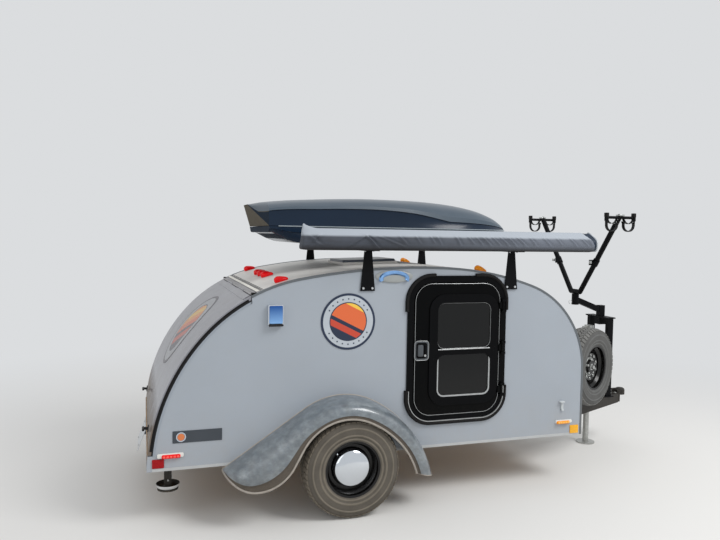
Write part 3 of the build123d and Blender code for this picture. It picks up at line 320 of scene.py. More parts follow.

# Edge trims: anodised aluminium angle pressed over both roof edges and the rear edges, and a flat strip
# screwed along the foot of each wall.
# Anodised extrusion: a grey metal drawn dark as painted shade, with a fine even grain under 1 mm.
anodised = weathered("anodised_aluminium_extrusion_in_painted_shade", "#63686c", 0.4, metallic=0.2, patch=9, varies=0.06,
                     grain=1500, depth=0.00001, low_dust=0.15)
# Pale strip: nearly white metal, duller where dust lies on it.
strip_alloy = weathered("pale_anodised_aluminium_strip", "#bcc0c2", 0.4, metallic=0.3, patch=14, varies=0.05,
                        dusty=0.04, low_dust=0.12)


def faded_to(material, colour, axis, clear, full, most=1.0):
    """Fades a finish to a colour along an axis, from none of it at clear to most of it at full, in metres."""
    tree = material.node_tree
    shown = tree.nodes["Principled BSDF"].inputs["Base Color"]
    place = add(tree, "ShaderNodeSeparateXYZ", {0: add(tree, "ShaderNodeTexCoord").outputs["Object"]})
    level = add(tree, "ShaderNodeMapRange", {"Value": place.outputs[axis], "From Min": clear,
                                             "From Max": full, "To Max": most})
    mixed = add(tree, "ShaderNodeMix", {0: level.outputs["Result"], 6: shown.links[0].from_socket,
                                        7: linear(colour)}, data_type="RGBA")
    tree.links.new(mixed.outputs[2], shown)


# behind the hatch's hinge the trims are painted with the walls
faded_to(anodised, "#979fa8", "X", at(600, 0, 0).x, at(592, 0, 0).x)
dress(anodised, "edge_trims")


def loft(mesh, rings, wrap=True, caps=True, index=0):
    """A grid laid over equal rings of places, closed round and over its ends where asked."""
    across = len(rings[0]) + (1 if wrap else 0)
    part = bmesh.new()
    bmesh.ops.create_grid(part, x_segments=across - 1, y_segments=len(rings) - 1, size=1)
    part.verts.ensure_lookup_table()
    for k, vert in enumerate(part.verts):
        ring = rings[k // across]
        vert.co = ring[k % across % len(ring)]
    bmesh.ops.remove_doubles(part, verts=part.verts, dist=1e-6)
    if wrap and caps:
        bmesh.ops.holes_fill(part, edges=[e for e in part.edges if e.is_boundary], sides=0)
    into(mesh, part, index)


def swept(mesh, points, section, up, closed=False, index=0):
    """A section of (out, along up) in metres, carried along a line of places."""
    up = Vector(up).normalized()
    rings = []
    count = len(points)
    for k, place in enumerate(points):
        before = points[(k - 1) % count] if closed or k > 0 else place
        after = points[(k + 1) % count] if closed or k < count - 1 else place
        out = (after - before).normalized().cross(up).normalized()
        rings.append([place + out * a + up * b for a, b in section])
    if closed:
        rings.append(rings[0])
    loft(mesh, rings, caps=not closed, index=index)


def wall_bead(mesh, points, side, lift, section, closed=False, index=0):
    """A section carried along (x, z) places on a side wall, lift millimetres out from its face."""
    swept(mesh, [at(x, side * (HALF + lift), z) for x, z in points], section, (0, side, 0), closed, index)


# height of the strip's middle
STRIP_Z = 9
mesh = bmesh.new()
for side in (-1, 1):
    wall_bead(mesh, [(x, STRIP_Z) for x in range(30, 2941, 97)], side, 0,
              [(-0.009, 0), (-0.009, 0.0018), (0.009, 0.0018), (0.009, 0)])
    for x in range(60, 2920, 286):
        stud(mesh, at(x, side * (HALF + 1.5), STRIP_Z), (0, side, 0), 3.5, 1.4, steps=10)
piece("wall_foot_strips", mesh, "trailer", [strip_alloy])

# Rear hatch: one curved sheet in gloss grey on a plywood core, with a black moulding on its side edges,
# two compression latches near its foot, and a piano hinge under ribbed flashing at its top.
# Gloss enamel: a warm grey with a wet shine, brown low down: partly dust where the wheels throw it, partly
# painted shade with a painted reflection of the brown ground. Its brown share is more than whole at the
# ground, which carries the brown far up the curve.
hatch_gloss = weathered("gloss_grey_enamel_on_curved_sheet", "#82838b", 0.32, coat=0.25, patch=1.6,
                        varies=0.06, dust="#6a5e54", dusty=0.06, low_dust=4.0)
drawn_streaks(hatch_gloss, "#6b6562", 0.25, (0.8, 2.0, 0.6), 3.0)
# Extruded rubbers and seals: near black and dull, so that they draw dark lines round the hatch.
bulb_seal = weathered("dark_bulb_seal", "#1f2226", 0.6, patch=20, varies=0.08, dusty=0.02, shine=0.2)
edge_rubber = weathered("extruded_black_rubber", "#0b0b0d", 0.6, patch=20, varies=0.12, dusty=0.02,
                        dust="#6f6557", shine=0.2)
# Powder coat on castings: black with a fine pebble and a weak shine. On the porch lamp's lower bar it is
# painted shade.
black_cast_and_lamp_shade = weathered("black_powder_coat_and_painted_lamp_shade", "#111216", 0.45, patch=30, varies=0.1, grain=1400,
                       depth=0.00004, dusty=0.02, shine=0.3)
dress(hatch_gloss, "hatch_panel", "hatch_leaf")
dress(bulb_seal, "hatch_seals")
# radius and turn in degrees of each arc of the body's side, from the front wall back to the rear sill
OUTLINE_ARCS = ((641.4, 70.6), (2184, 16.4), (4365, 13.4), (1051, 37.6), (1206, 41.3))


def body_line(inset=0.0, step=20):
    """The side outline from the front wall over the roof to the rear sill, as (x, z, heading)."""
    shape = []
    x, z, heading = 0.0, 0.0, 90.0
    for radius, turn in OUTLINE_ARCS:
        count = max(3, int(radius * radians(turn) / step))
        for k in range(count + (radius == OUTLINE_ARCS[-1][0])):
            shape.append((x, z, heading))
            mid = radians(heading + turn / count / 2)
            chord = 2 * radius * sin(radians(turn / count) / 2)
            x, z = x + chord * cos(mid), z + chord * sin(mid)
            heading += turn / count
    last = shape[-1]
    return [(px - last[0] - inset * sin(radians(h)), pz - last[1] + inset * cos(radians(h)), h)
            for px, pz, h in shape]


# the hatch's lowest z and foremost x
HATCH_FOOT, HATCH_HEAD = 100, 598
mesh = bmesh.new()
for side in (-1, 1):
    edge = [(x, z) for x, z, heading in body_line(inset=14) if z > HATCH_FOOT and x < HATCH_HEAD]
    wall_bead(mesh, edge, side, -3, [(-0.0062, 0), (-0.0055, 0.0014), (0.0055, 0.0014), (0.0062, 0)])
piece("hatch_edge_mouldings", mesh, "hatch", [edge_rubber])
# half the latches' distance apart, their height, and the way they face
LATCH_Y, LATCH_Z, LATCH_FACING = 547, 199, (-1, 0, 0.1)
mesh = bmesh.new()
for y in (-LATCH_Y, LATCH_Y):
    turned(mesh, [(0, 0), (23, 0), (23, 4), (20, 7), (0, 7)], at(13, y, LATCH_Z), LATCH_FACING, 32)
    stud(mesh, at(8, y, LATCH_Z), LATCH_FACING, 9, 24)
    brick(mesh, -26, -12, y - 34, y + 34, LATCH_Z - 7, LATCH_Z + 7, 4)
piece("hatch_latches", mesh, "hatch", [black_cast_and_lamp_shade])

# Hinge and flashing: a grey piano hinge with fine ribs whose leaf is painted with the hatch, and in front of
# it a cream flashing and three grooves, with a rubber plug at each end. The gaps and grooves are dark beads of
# painted shade.
# Hinge: pale dusty metal whose ribs catch the light. Flashing: a cream line. Dark beads: painted shade, dull.
hinge_metal = weathered("dusty_ribbed_piano_hinge", "#a9a8aa", 0.45, metallic=0.25, patch=30, varies=0.1,
                        dusty=0.06)
flashing = weathered("cream_enamel_alloy_flashing", "#efece2", 0.4, patch=16, varies=0.05, dusty=0.03)
gap_and_groove_shade = weathered("dark_painted_shade_in_gaps_and_grooves", "#454549", 0.7, patch=40, varies=0.1, shine=0.3)
dress(hinge_metal, "hatch_hinge")


def roof_at(x):
    """Height of the roof in millimetres above the body's bottom, and its fall towards the front."""
    line = body_line(step=8)
    for a, b in zip(line, line[1:]):
        if b[0] <= x <= a[0]:
            t = (a[0] - x) / max(a[0] - b[0], 1e-9)
            return a[1] + (b[1] - a[1]) * t, radians(180 - a[2])
    return 0.0, 0.0


def across_roof(mesh, x, wide, high, index=0, reach=716):
    """A bead across the roof at x, of that width and height in millimetres."""
    z, fall = roof_at(x)
    line = [at(x, y, z - 0.5 + high / 2) for y in (-reach, 0, reach)]
    swept(mesh, line, [(wide / 2000, -high / 2000), (wide / 2500, high / 2000), (-wide / 2500, high / 2000),
                       (-wide / 2000, -high / 2000)], (sin(fall), 0, cos(fall)), index=index)


# x, width, height and material of each bead: gap, four ribs, gap, flashing and three grooves; gaps and grooves
# are dark beads of painted shade
BEADS = ((601, 4, 5.4, 2), (607, 5, 6.4, 0), (614, 5, 6.4, 0), (621, 5, 6.4, 0), (628, 5, 6.4, 0),
         (634, 3, 5.8, 2), (647, 22, 6.2, 1), (662, 3, 2.8, 2), (669, 3, 2.8, 2), (677, 3, 2.6, 2))
mesh = bmesh.new()
for bead in BEADS:
    across_roof(mesh, *bead)
z = roof_at(628)[0]
for side in (-1, 1):
    brick(mesh, 604, 650, side * 716, side * 759, z - 10, z + 5, 3, index=3)
piece("hinge_flashing", mesh, "trailer", [hinge_metal, flashing, gap_and_groove_shade, edge_rubber])

# Doors: pressed leaves in gloss black on black frames, as the CAD has them. Thick rubber mouldings cover
# the frame's corners, and thin pale lines mark its foot, the leaf's edge, the sash and the panes: painted
# highlights on black edges.
# Baked gloss black: near black with a clear reflection and a little dust.
door_gloss = weathered("baked_gloss_black_on_door_skin", "#050607", 0.16, patch=4, varies=0.1,
                       dust="#4f4a42", dusty=0.008, low_dust=0.08, shine=0.06)
# Satin black: the frame reads a shade softer than the leaf.
frame_gloss = weathered("satin_black_door_frame", "#090a0c", 0.3, patch=6, varies=0.1, dust="#4f4a42",
                        dusty=0.01, shine=0.06)
# Pale lines: painted highlights of the sky on black edges; the same bright metal makes the lock. Lacquered
# casting: a mid grey with a soft gleam.
pale_metal_and_highlight = weathered("pale_metal_and_painted_highlight_lines", "#b4b6b6", 0.3, metallic=0.6, patch=40, varies=0.1)
handle_cast = weathered("cast_zinc_handle_in_grey_lacquer", "#54585c", 0.32, metallic=0.5, patch=30,
                        varies=0.1)
# Tinted glass: nearly black from outside, with the cabin just showing through it.
pane = bpy.data.materials.new("dark_tinted_safety_glass")
pane.use_nodes = True
pane_shader = pane.node_tree.nodes["Principled BSDF"]
for socket, value in (("Base Color", linear("#0b0e0d")), ("Roughness", 0.03), ("Transmission Weight", 0.8),
                      ("IOR", 1.45), ("Specular IOR Level", 0.1)):
    pane_shader.inputs[socket].default_value = value
dress(door_gloss, "door_right", "door_left")
dress(frame_gloss, "door_frames", "door_window_right", "door_window_left")
dress(pane, "door_glass_right", "door_glass_left")
# the edges and the corner radius of the door's frame
DOOR_LEFT, DOOR_RIGHT, DOOR_FOOT, DOOR_HEAD, DOOR_CORNER = 1607, 2323, 167, 1137, 170


def outline(x0, x1, z0, z1, radius, steps=8):
    """The corners of a rectangle with round corners, as (x, z) going round it from the front top."""
    found = []
    for cx, cz, start in ((x1 - radius, z1 - radius, 0), (x0 + radius, z1 - radius, 90),
                          (x0 + radius, z0 + radius, 180), (x1 - radius, z0 + radius, 270)):
        for k in range(steps + 1):
            t = radians(start + 90 * k / steps)
            found.append((cx + radius * cos(t), cz + radius * sin(t)))
    return found


def inside_door(inset, steps=14):
    """The door frame's outline, moved inwards."""
    return outline(DOOR_LEFT + inset, DOOR_RIGHT - inset, DOOR_FOOT + inset, DOOR_HEAD - inset,
                   DOOR_CORNER - inset, steps)


def plate(mesh, x0, x1, z0, z1, corner, side, low, high, edge=2.0, index=0, steps=6, dome=0.0):
    """A plate with round corners, from low to high out from a side wall, rounded at its rim and domed."""
    part = bmesh.new()
    middle = at((x0 + x1) / 2, side * (HALF + low), (z0 + z1) / 2)
    wide, tall = (x1 - x0) / 2, (z1 - z0) / 2
    size = Matrix.Diagonal((wide / 1000, tall / 1000, 1, 1))
    bmesh.ops.create_grid(part, x_segments=1, y_segments=1, size=1,
                          matrix=Matrix.Translation(middle) @ Matrix.Rotation(pi / 2, 4, "X") @ size)
    bmesh.ops.bevel(part, geom=part.verts[:], offset=corner / 1000, segments=steps, profile=0.5,
                    affect="VERTICES", material=-1)
    thick, short = high - low, min(wide, tall) - edge
    rows = [(0, thick - edge), (edge * 0.3, thick - edge * 0.3), (edge, thick)]
    if dome:
        rows += [(edge + short * share, thick + dome * rise)
                 for share, rise in ((0.3, 0.5), (0.6, 0.85), (0.9, 1.0))]
    faces, was_in, was_out = part.faces[:], 0, 0
    for inset, rise in rows:
        grown = bmesh.ops.extrude_face_region(part, geom=faces)["geom"]
        faces = [f for f in grown if isinstance(f, bmesh.types.BMFace)]
        lid = [v for v in grown if isinstance(v, bmesh.types.BMVert)]
        shrink = ((wide - inset) / (wide - was_in), 1, (tall - inset) / (tall - was_in))
        bmesh.ops.scale(part, verts=lid, vec=shrink, space=Matrix.Translation(-middle))
        bmesh.ops.translate(part, verts=lid, vec=(0, side * (rise - was_out) / 1000, 0))
        was_in, was_out = inset, rise
    into(mesh, part, index)


def round_section(radius, sides=8):
    """A circle as a section in metres."""
    turns = [2 * pi * k / sides for k in range(sides)]
    return [(radius * cos(t), radius * sin(t)) for t in turns]


# the outline's points run round from the front top: 15 to a corner
CORNER_RUNS = (((2326, 905), 0, 15, (2090, 1140)), ((1800, 1140), 15, 30, (1604, 905)),
               ((1604, 390), 30, 60, (2326, 390)))
MOULDING = [(-0.011, 0), (-0.011, 0.012), (-0.004, 0.019), (0.007, 0.019), (0.012, 0.010), (0.012, 0)]
for name, side in SIDES:
    out = (0, side, 0)
    mesh = bmesh.new()
    ring = inside_door(-3)
    for before, first, last, after in CORNER_RUNS:
        wall_bead(mesh, [before] + ring[first:last] + [after], side, 0, MOULDING)
    piece(f"door_corner_mouldings_{name}", mesh, "trailer", [edge_rubber])
    mesh = bmesh.new()
    foot = [(DOOR_LEFT + 12, 386)] + inside_door(12)[30:60] + [(DOOR_RIGHT - 12, 386)]
    wall_bead(mesh, foot, side, 8, [(-0.003, 0), (-0.002, 0.009), (0.002, 0.009), (0.003, 0)])
    screws = inside_door(30)[::3]
    screws += [(x, z) for z in (450, 560, 744, 840) for x in (DOOR_LEFT + 30, DOOR_RIGHT - 30)]
    for x, z in screws:
        stud(mesh, at(x, side * (HALF + 9), z), out, 3.5, 1.6, index=1, steps=10)
    piece(f"door_frame_edge_{name}", mesh, "trailer", [pale_metal_and_highlight, frame_gloss])
    # painted highlights drawn as pale lines: the leaf's edge, round the upper pane, round the lower pane's
    # foot, and between the panes
    mesh = bmesh.new()
    lower_pane = outline(1819, 2197, 342, 610, 46)
    wall_bead(mesh, inside_door(52, 12), side, 13.6, round_section(0.0015), closed=True)
    wall_bead(mesh, outline(1815, 2201, 657, 958, 50), side, 19, round_section(0.0016), closed=True)
    wall_bead(mesh, [(1819, 606)] + lower_pane[18:36] + [(2197, 606)], side, 16,
              [(-0.006, 0), (-0.005, 0.005), (0.004, 0.006), (0.006, 0)])
    wall_bead(mesh, [(1819, 652), (2197, 652)], side, 22, round_section(0.0036))
    piece(f"door_painted_highlight_lines_{name}", mesh, f"{name}_door", [pale_metal_and_highlight])
    # latch: tray, dark well, domed paddle, dark thumb piece, lock and bright rim
    mesh = bmesh.new()
    plate(mesh, 1652, 1754, 586, 716, 24, side, 13, 22, 3)
    plate(mesh, 1664, 1742, 599, 703, 16, side, 21, 24, 2, index=1)
    plate(mesh, 1674, 1712, 614, 690, 9, side, 23, 33, 4, dome=2)
    plate(mesh, 1718, 1736, 628, 690, 6, side, 23, 29, 3, index=1)
    stud(mesh, at(1727, side * (HALF + 24), 618), out, 8, 4, index=2)
    wall_bead(mesh, outline(1654, 1752, 588, 714, 22), side, 21.5, round_section(0.002), closed=True, index=2)
    piece(f"door_latch_{name}", mesh, f"{name}_door", [handle_cast, frame_gloss, pale_metal_and_highlight])

# Fenders: steel pressings in grey powder coat. Each runs from a crown line on the wall out and round to its
# lip, with a sunk flange that is deep at the tail, a rolled wire edge, and a pale welt along the wall.
# Powder coat: a mottled blue-grey with a soft shine, tan where the wheel throws dust.
fender_coat = weathered("grey_powder_coat_on_pressed_steel", "#66717a", 0.26, coat=0.8, patch=5, varies=0.08,
                        grain=700, depth=0.00003, dusty=0.08, low_dust=0.16, dust="#93897b")
drawn_streaks(fender_coat, "#98a0a2", 0.5, (3.0, 3.0, 4.5), 7.0)
drawn_streaks(fender_coat, "#4d5356", 0.5, (1.5, 2.0, 1.5), 9.0)
# Flange: a dull brown line, dust caked on it with painted shade where it faces down. Welt and lip: pale lines
# that draw the pressing's two edges.
flange_dust_and_shade = weathered("dusty_fender_flange_with_painted_shade", "#4a443d", 0.8, patch=14, varies=0.15, dusty=0.2,
                        dust="#75695b")
wall_welt = weathered("pale_fender_welt", "#a39b90", 0.7, patch=30, varies=0.12)
lip_wire = weathered("pale_rolled_fender_lip", "#a39c93", 0.5, metallic=0.15, patch=30, varies=0.12)
# where the fender's crown and lip start at its tail
FENDER_TAIL = (432, -18)


def arc_path(start, heading, moves, step=18):
    """Points of a tangent chain of (length, 0) or (radius, turn) moves, as (x, z, length so far)."""
    x, z = start
    walked = 0.0
    found = [(x, z, 0.0)]
    for size, turn in moves:
        length = size if turn == 0 else size * radians(abs(turn))
        count = max(2, int(length / step))
        for k in range(count):
            swing = turn / count
            mid = radians(heading + swing / 2)
            chord = length / count if turn == 0 else 2 * size * sin(radians(abs(swing)) / 2)
            x, z = x + chord * cos(mid), z + chord * sin(mid)
            heading += swing
            walked += length / count
            found.append((x, z, walked))
    return found


def between(table, x):
    """The value at x of a table of (x, value), smoothed between its rows."""
    if x <= table[0][0]:
        return table[0][1]
    for k in range(len(table) - 1):
        (xa, a), (xb, b) = table[k], table[k + 1]
        if x <= xb:
            before = table[max(k - 1, 0)]
            after = table[min(k + 2, len(table) - 1)]
            run = xb - xa
            slope_a = (b - before[1]) / max(xb - before[0], 1e-9)
            slope_b = (after[1] - a) / max(after[0] - xa, 1e-9)
            t = (x - xa) / run
            h = t * t * (3 - 2 * t)
            level = a * (1 - h) + b * h
            return level + (t ** 3 - 2 * t * t + t) * run * slope_a + (t ** 3 - t * t) * run * slope_b
    return table[-1][1]


def along(path, share):
    """The point at that share of a path's length."""
    want = path[-1][2] * share
    for a, b in zip(path, path[1:]):
        if want <= b[2] + 1e-6:
            t = (want - a[2]) / max(b[2] - a[2], 1e-9)
            return a[0] + (b[0] - a[0]) * t, a[1] + (b[1] - a[1]) * t
    return path[-1][:2]


CROWN = arc_path(FENDER_TAIL, 33.6, [(605, 0), (436, -57.8), (728, -52.3)])
LIP = arc_path(FENDER_TAIL, -52.7, [(227, 49.8), (246, 64.7), (107, 0), (322, -85.9), (620, -46.7)])
# share of the crown's length, share of the lip's length that faces it
STATIONS = ((0, 0), (0.08, 0.13), (0.18, 0.27), (0.35, 0.45), (0.503, 0.60), (0.7, 0.765), (0.85, 0.885),
            (1, 1))
# x, reach of the lip from the wall
REACH = ((432, 8), (445, 74), (470, 128), (510, 172), (560, 198), (620, 206), (760, 208), (1390, 208),
         (1465, 206), (1540, 200), (1590, 184), (1628, 166), (1700, 104), (1765, 14))
# share of the crown's length, height of the flange above the lip
FLANGE = ((0, 8), (0.05, 38), (0.14, 56), (0.26, 40), (0.38, 20), (0.5, 12), (1, 10))
# exponent that squares the crown's round shoulder, and the stations along and across the pressing
SHOULDER, ROWS, STEPS = 0.72, 120, 16
# section of the wire rolled into the lip, in metres
LIP_SECTION = [(-0.005, -0.004), (0.007, -0.004), (0.008, 0.002), (0.004, 0.006), (-0.004, 0.004)]
mesh = bmesh.new()
for side in (-1, 1):
    crown_rows, flange_rows, lip_line, wall_line = [], [], [], []
    for k in range(ROWS + 1):
        share = k / ROWS
        cx, cz = along(CROWN, share)
        lx, lz = along(LIP, between(STATIONS, share))
        reach = between(REACH, lx)
        drop = between(FLANGE, share)
        fall = max(cz - lz, 1)
        # the share of the way from crown to lip that the smooth pressing takes; the flange takes the rest
        keep = min(0.8, 1 - drop / max(((cx - lx) ** 2 + fall ** 2) ** 0.5, 1))
        row = []
        for n in range(STEPS + 1):
            t = radians(90 * n / STEPS)
            out = sin(t) ** SHOULDER
            down = (1 - cos(t) ** SHOULDER if n < STEPS else 1.0) * keep
            y = side * (HALF + 0.5 + (reach - 0.5) * out)
            row.append(at(cx + (lx - cx) * down, y, cz + (lz - cz) * down))
        step = min(4.0, reach * 0.2)  # the flange is sunk by this
        foot = at(lx, side * (HALF + reach - step), lz)
        head = row[-1] + Vector((0, -side * step / 1000, 0))
        crown_rows.append(row)
        flange_rows.append([row[-1], head + (foot - head) * 0.05, head + (foot - head) * 0.5, foot])
        lip_line.append(foot)
        wall_line.append(row[0])
    loft(mesh, crown_rows, wrap=False)
    loft(mesh, flange_rows, wrap=False, index=1)
    swept(mesh, lip_line, LIP_SECTION, (0, side, 0), index=2)
    toe_edge = crown_rows[-1] + flange_rows[-1][1:]
    swept(mesh, toe_edge, round_section(0.004), (1, 0, 0.2), index=2)
    swept(mesh, wall_line, round_section(0.0035), (0, side, 0), index=3)
piece("fender_pressings", mesh, "trailer", [fender_coat, flange_dust_and_shade, lip_wire, wall_welt], sharp=60,
      instead=["fenders"])

# Tyres: radial carcasses with moulded sidewall rings and five rows of tread blocks, grey-brown with dust.
# Wheels: pressed steel in black enamel, shown as the CAD has them, with a valve and a spun chrome dome.
# Moulded rubber: a matt grey-brown, darker in the grooves and between the sidewall's rings. Its pits are
# under 1 mm, and are drawn at 3 mm so that they show.
tread_dusty = weathered("dusty_moulded_tread_rubber", "#635c51", 0.85, patch=16, varies=0.16, grain=400,
                        depth=0.0002, dusty=0.10, dust="#8f8472")
wall_dusty = weathered("dusty_moulded_sidewall_rubber", "#534e47", 0.85, patch=16, varies=0.14, grain=300,
                       depth=0.0002, dusty=0.08, dust="#857a69")
ring_dusty = weathered("pale_sidewall_ring", "#716a5e", 0.8, patch=16, varies=0.12, grain=300,
                       depth=0.0002)
# The spare has run little: a cooler, evener grey with less dust.
tread_clean = weathered("clean_moulded_tread_rubber", "#707170", 0.8, patch=16, varies=0.12, grain=400,
                        depth=0.0002, dusty=0.04, shine=0.4)
wall_clean = weathered("clean_moulded_sidewall_rubber", "#505151", 0.75, patch=16, varies=0.12, grain=300,
                       depth=0.0002, dusty=0.03, shine=0.4)
ring_clean = weathered("clean_sidewall_ring", "#5f605f", 0.75, patch=16, varies=0.1, grain=300, depth=0.0002)
# Wheel enamel: near black with a soft gleam. Chrome: a clear mirror under a trace of dust.
rim_enamel = weathered("black_enamel_on_steel_wheel", "#060607", 0.25, coat=0.15, patch=18, varies=0.15,
                       dusty=0.015, dust="#5f5548", shine=0.3)
chrome = weathered("bright_chrome_plate", "#d9dee4", 0.07, metallic=1.0, patch=10, varies=0.02, dusty=0.015)
dress(rim_enamel, "wheel_right", "wheel_left", "spare_wheel")
# radius and offset of the sidewall, from the tread's shoulder in to the bead
SIDEWALL = ((298, 52), (296, 64), (291, 73), (284, 79), (273, 83.6), (261, 86.2), (258, 88.3), (253, 88.4),
            (250, 86.9), (236, 87.3), (218, 85.4), (215, 86.9), (209, 86.2), (206, 84.2), (194, 80.6),
            (191, 82), (186, 81), (183, 78.6), (176, 75.5), (169, 69), (166.5, 60))
# the three pale rings, which stand up to 0.4 mm proud of the sidewall
RINGS = (((261, 86.2), (258, 88.7), (253, 88.8), (250, 86.9)),
         ((218, 85.4), (215, 87.2), (209, 86.5), (206, 84.2)),
         ((194, 80.6), (191, 82.3), (186, 81.3), (183, 78.6)))
# rows of tread blocks: from and to along the axle, first turn and skew in degrees, top radius at each edge
TREAD = (
    (-11, 11, 0.0, 2.2, 305.0, 305.0),
    (16, 43, 2.4, -2.4, 305.0, 304.6),
    (-43, -16, 1.1, -2.4, 304.6, 305.0),
    (48, 79, 0.4, 1.4, 304.2, 294.0),
    (-79, -48, 3.0, 1.4, 294.0, 304.2),
)
# blocks in a row, the share of their pitch that they fill, and the carcass's radii that they stand on
BLOCKS, FILLED, CARCASS, CARCASS_EDGE = 54, 0.76, 296, 288


def tyre(name, body, place, facing, node, rubbers):
    """A tyre that faces along facing; rubbers are those of its tread, its sidewalls and their rings."""
    mesh = bmesh.new()
    # the inner wall, which closes the carcass
    inside = [(200, 66), (268, 70), (276, 40), (276, -40), (268, -70), (200, -66)]
    profile = list(SIDEWALL) + inside + [(r, -o) for r, o in reversed(SIDEWALL)] + [SIDEWALL[0]]
    turned(mesh, profile, place, facing, 120, index=1)
    for ring in RINGS:
        for end in (-1, 1):
            turned(mesh, [(r, end * o) for r, o in ring], place, facing, 120, index=2)
    turn = Vector(facing).to_track_quat("Z", "Y")
    pitch = 360 / BLOCKS
    for low, high, first, skew, top_low, top_high in TREAD:
        part = bmesh.new()
        rings = []
        for lift in (0, 1):
            ring = []
            for offset, lean, top in ((low, -skew, top_low), (high, skew, top_high)):
                ends = (first, first + pitch * FILLED) if offset == low else (first + pitch * FILLED, first)
                for angle in ends:
                    radius = top if lift else (CARCASS_EDGE if abs(offset) > 60 else CARCASS)
                    t = radians(angle + lean)
                    ring.append(place + turn @ Vector((radius * cos(t), radius * sin(t), offset)) / 1000)
            rings.append(ring)
        loft(part, rings)
        bmesh.ops.spin(part, geom=part.verts[:] + part.edges[:] + part.faces[:], cent=place,
                       axis=turn @ Vector((0, 0, 1)), angle=2 * pi * (BLOCKS - 1) / BLOCKS, steps=BLOCKS - 1,
                       use_duplicate=True)
        into(mesh, part)
    return piece(name, mesh, body, rubbers, sharp=28, instead=[node])


def middle_of(node):
    """The middle of a CAD part's box."""
    low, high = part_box(node)
    return (Vector(low) + Vector(high)) / 2


# radius and offset from the hub's middle of the cap's dome, out to its rim and back inside
CAP = ((0, 82), (22, 81.6), (44, 79.8), (62, 77.2), (78, 73.6), (92, 69), (103, 64), (111, 58.5), (115.5, 53),
       (117, 47), (117, 24), (114, 24), (112, 50), (104, 59), (90, 66), (60, 74), (0, 79))
for name, side in SIDES:
    hub = middle_of(f"tyre_{name}")
    out = Vector((0, side, 0))
    tyre(f"tyre_{name}_moulded", f"{name}_wheel", hub, out, f"tyre_{name}",
         [tread_dusty, wall_dusty, ring_dusty])
    mesh = bmesh.new()
    turned(mesh, CAP, hub, out, 96)
    piece(f"wheel_cap_{name}_spun", mesh, f"{name}_wheel", [chrome], instead=[f"wheel_cap_{name}"])
    mesh = bmesh.new()
    for start, radius, length, index in ((0.016, 4, 34, 0), (0.046, 6, 12, 1)):
        stud(mesh, hub + Vector((-0.098, side * start, 0.098)), out, radius, length, index=index)
    piece(f"wheel_valve_{name}", mesh, f"{name}_wheel", [edge_rubber, chrome])

# Side lamps: a porch lamp behind the door in a chromed case with a mirrored pane, and an oval lamp of grey
# plastic with a mirrored hood that arches over its middle.
# Mirror pane: a painted reflection of the sky's blue, deepest at its head.
mirror_pane = weathered("mirror_pane_with_painted_sky_reflection", "#86b5ea", 0.12, metallic=0.5, patch=3, varies=0.0)
faded_to(mirror_pane, "#1f569f", "Z", at(0, 0, 860).z, at(0, 0, 958).z)
# Hood: the same painted sky reflection in broken patches. Lamp plastic: an even pale grey with a soft shine.
mirror_hood = weathered("mirror_hood_with_painted_sky_reflection", "#86b2e6", 0.1, metallic=0.7, patch=24, varies=0.25)
lamp_grey = weathered("grey_moulded_lamp_plastic", "#9b9f9e", 0.35, coat=0.2, patch=20, varies=0.05)
# the oval dish: its middle, half its length and half its height
OVAL_X, OVAL_Z, OVAL_LONG, OVAL_TALL = 1511.5, 1134, 126, 40.5
# share of its size and its height out from the wall, from its rim in
DISH = ((1.0, 0), (1.0, 5), (0.94, 9), (0.8, 12), (0.5, 15), (0.12, 16))
HOOD = [(-0.012, -0.012), (-0.014, 0.002), (-0.008, 0.010), (0.005, 0.011), (0.013, 0.003), (0.012, -0.012)]
mesh = bmesh.new()
for side in (-1, 1):
    plate(mesh, 697, 793, 834, 967, 8, side, 0, 24, 5)
    plate(mesh, 704, 786, 852, 961, 7, side, 23, 37, 6, index=1, dome=3)
    # the chrome case's lower bar is drawn in black: painted shade
    plate(mesh, 700, 790, 836, 849, 5, side, 22, 39, 4, index=4)
    turns = [2 * pi * k / 64 for k in range(64)]
    rings = []
    for share, lift in DISH:
        rings.append([at(OVAL_X + OVAL_LONG * share * cos(t), side * (HALF + lift),
                         OVAL_Z + OVAL_TALL * share * sin(t)) for t in turns])
    loft(mesh, rings, index=2)
    arch = [radians(200 - 220 * k / 24) for k in range(25)]
    wall_bead(mesh, [(1508 + 89 * cos(t), 1120 + 38 * sin(t)) for t in arch], side, 14, HOOD, index=3)
piece("porch_lamps", mesh, "trailer", [chrome, mirror_pane, lamp_grey, mirror_hood, black_cast_and_lamp_shade], sharp=30,
      instead=["side_lights"])

# Marker lamps, reflectors and roof clearance lamps: red at the rear and amber at the front. Each marker is
# a moulded lens with five bright cells on a white base; each clearance lamp is a bullet on a thin gasket.
# Acrylic lenses: clear deep colour with a sharp gleam. Reflectors: broken into fine prisms, drawn at 3 mm so
# that they show. Cells: paler, as if lit. Base: a plain warm white.
red_lens = weathered("red_acrylic_lamp_lens", "#f20812", 0.12, coat=0.15, patch=40, varies=0.1, shine=0.2)
red_prism = weathered("red_acrylic_prism_reflector", "#9c0e15", 0.3, patch=300, varies=0.3, shine=0.2)
red_cell = weathered("lit_red_lamp_cell", "#ff5a4c", 0.2, coat=0.4, patch=40, varies=0.05)
amber_lens = weathered("amber_acrylic_lamp_lens", "#ff9a18", 0.12, coat=0.2, patch=40, varies=0.1, shine=0.25)
amber_prism = weathered("amber_acrylic_prism_reflector", "#efac0c", 0.25, coat=0.3, patch=300, varies=0.25)
amber_cell = weathered("lit_amber_lamp_cell", "#ffc15e", 0.2, coat=0.4, patch=40, varies=0.05)
lamp_white = weathered("white_moulded_lamp_base", "#dddcd6", 0.4, patch=20, varies=0.04)
# radius along the length of a clearance lamp, from its tail to its nose
BULLET = ((0, -42.5), (10, -41), (18, -35), (22.5, -27), (24, -18), (23, -4), (20, 14), (15.5, 32), (11, 43),
          (6, 47), (0, 48))
# a lamp's nose points this far down towards the roof
NOD = radians(-9.2)
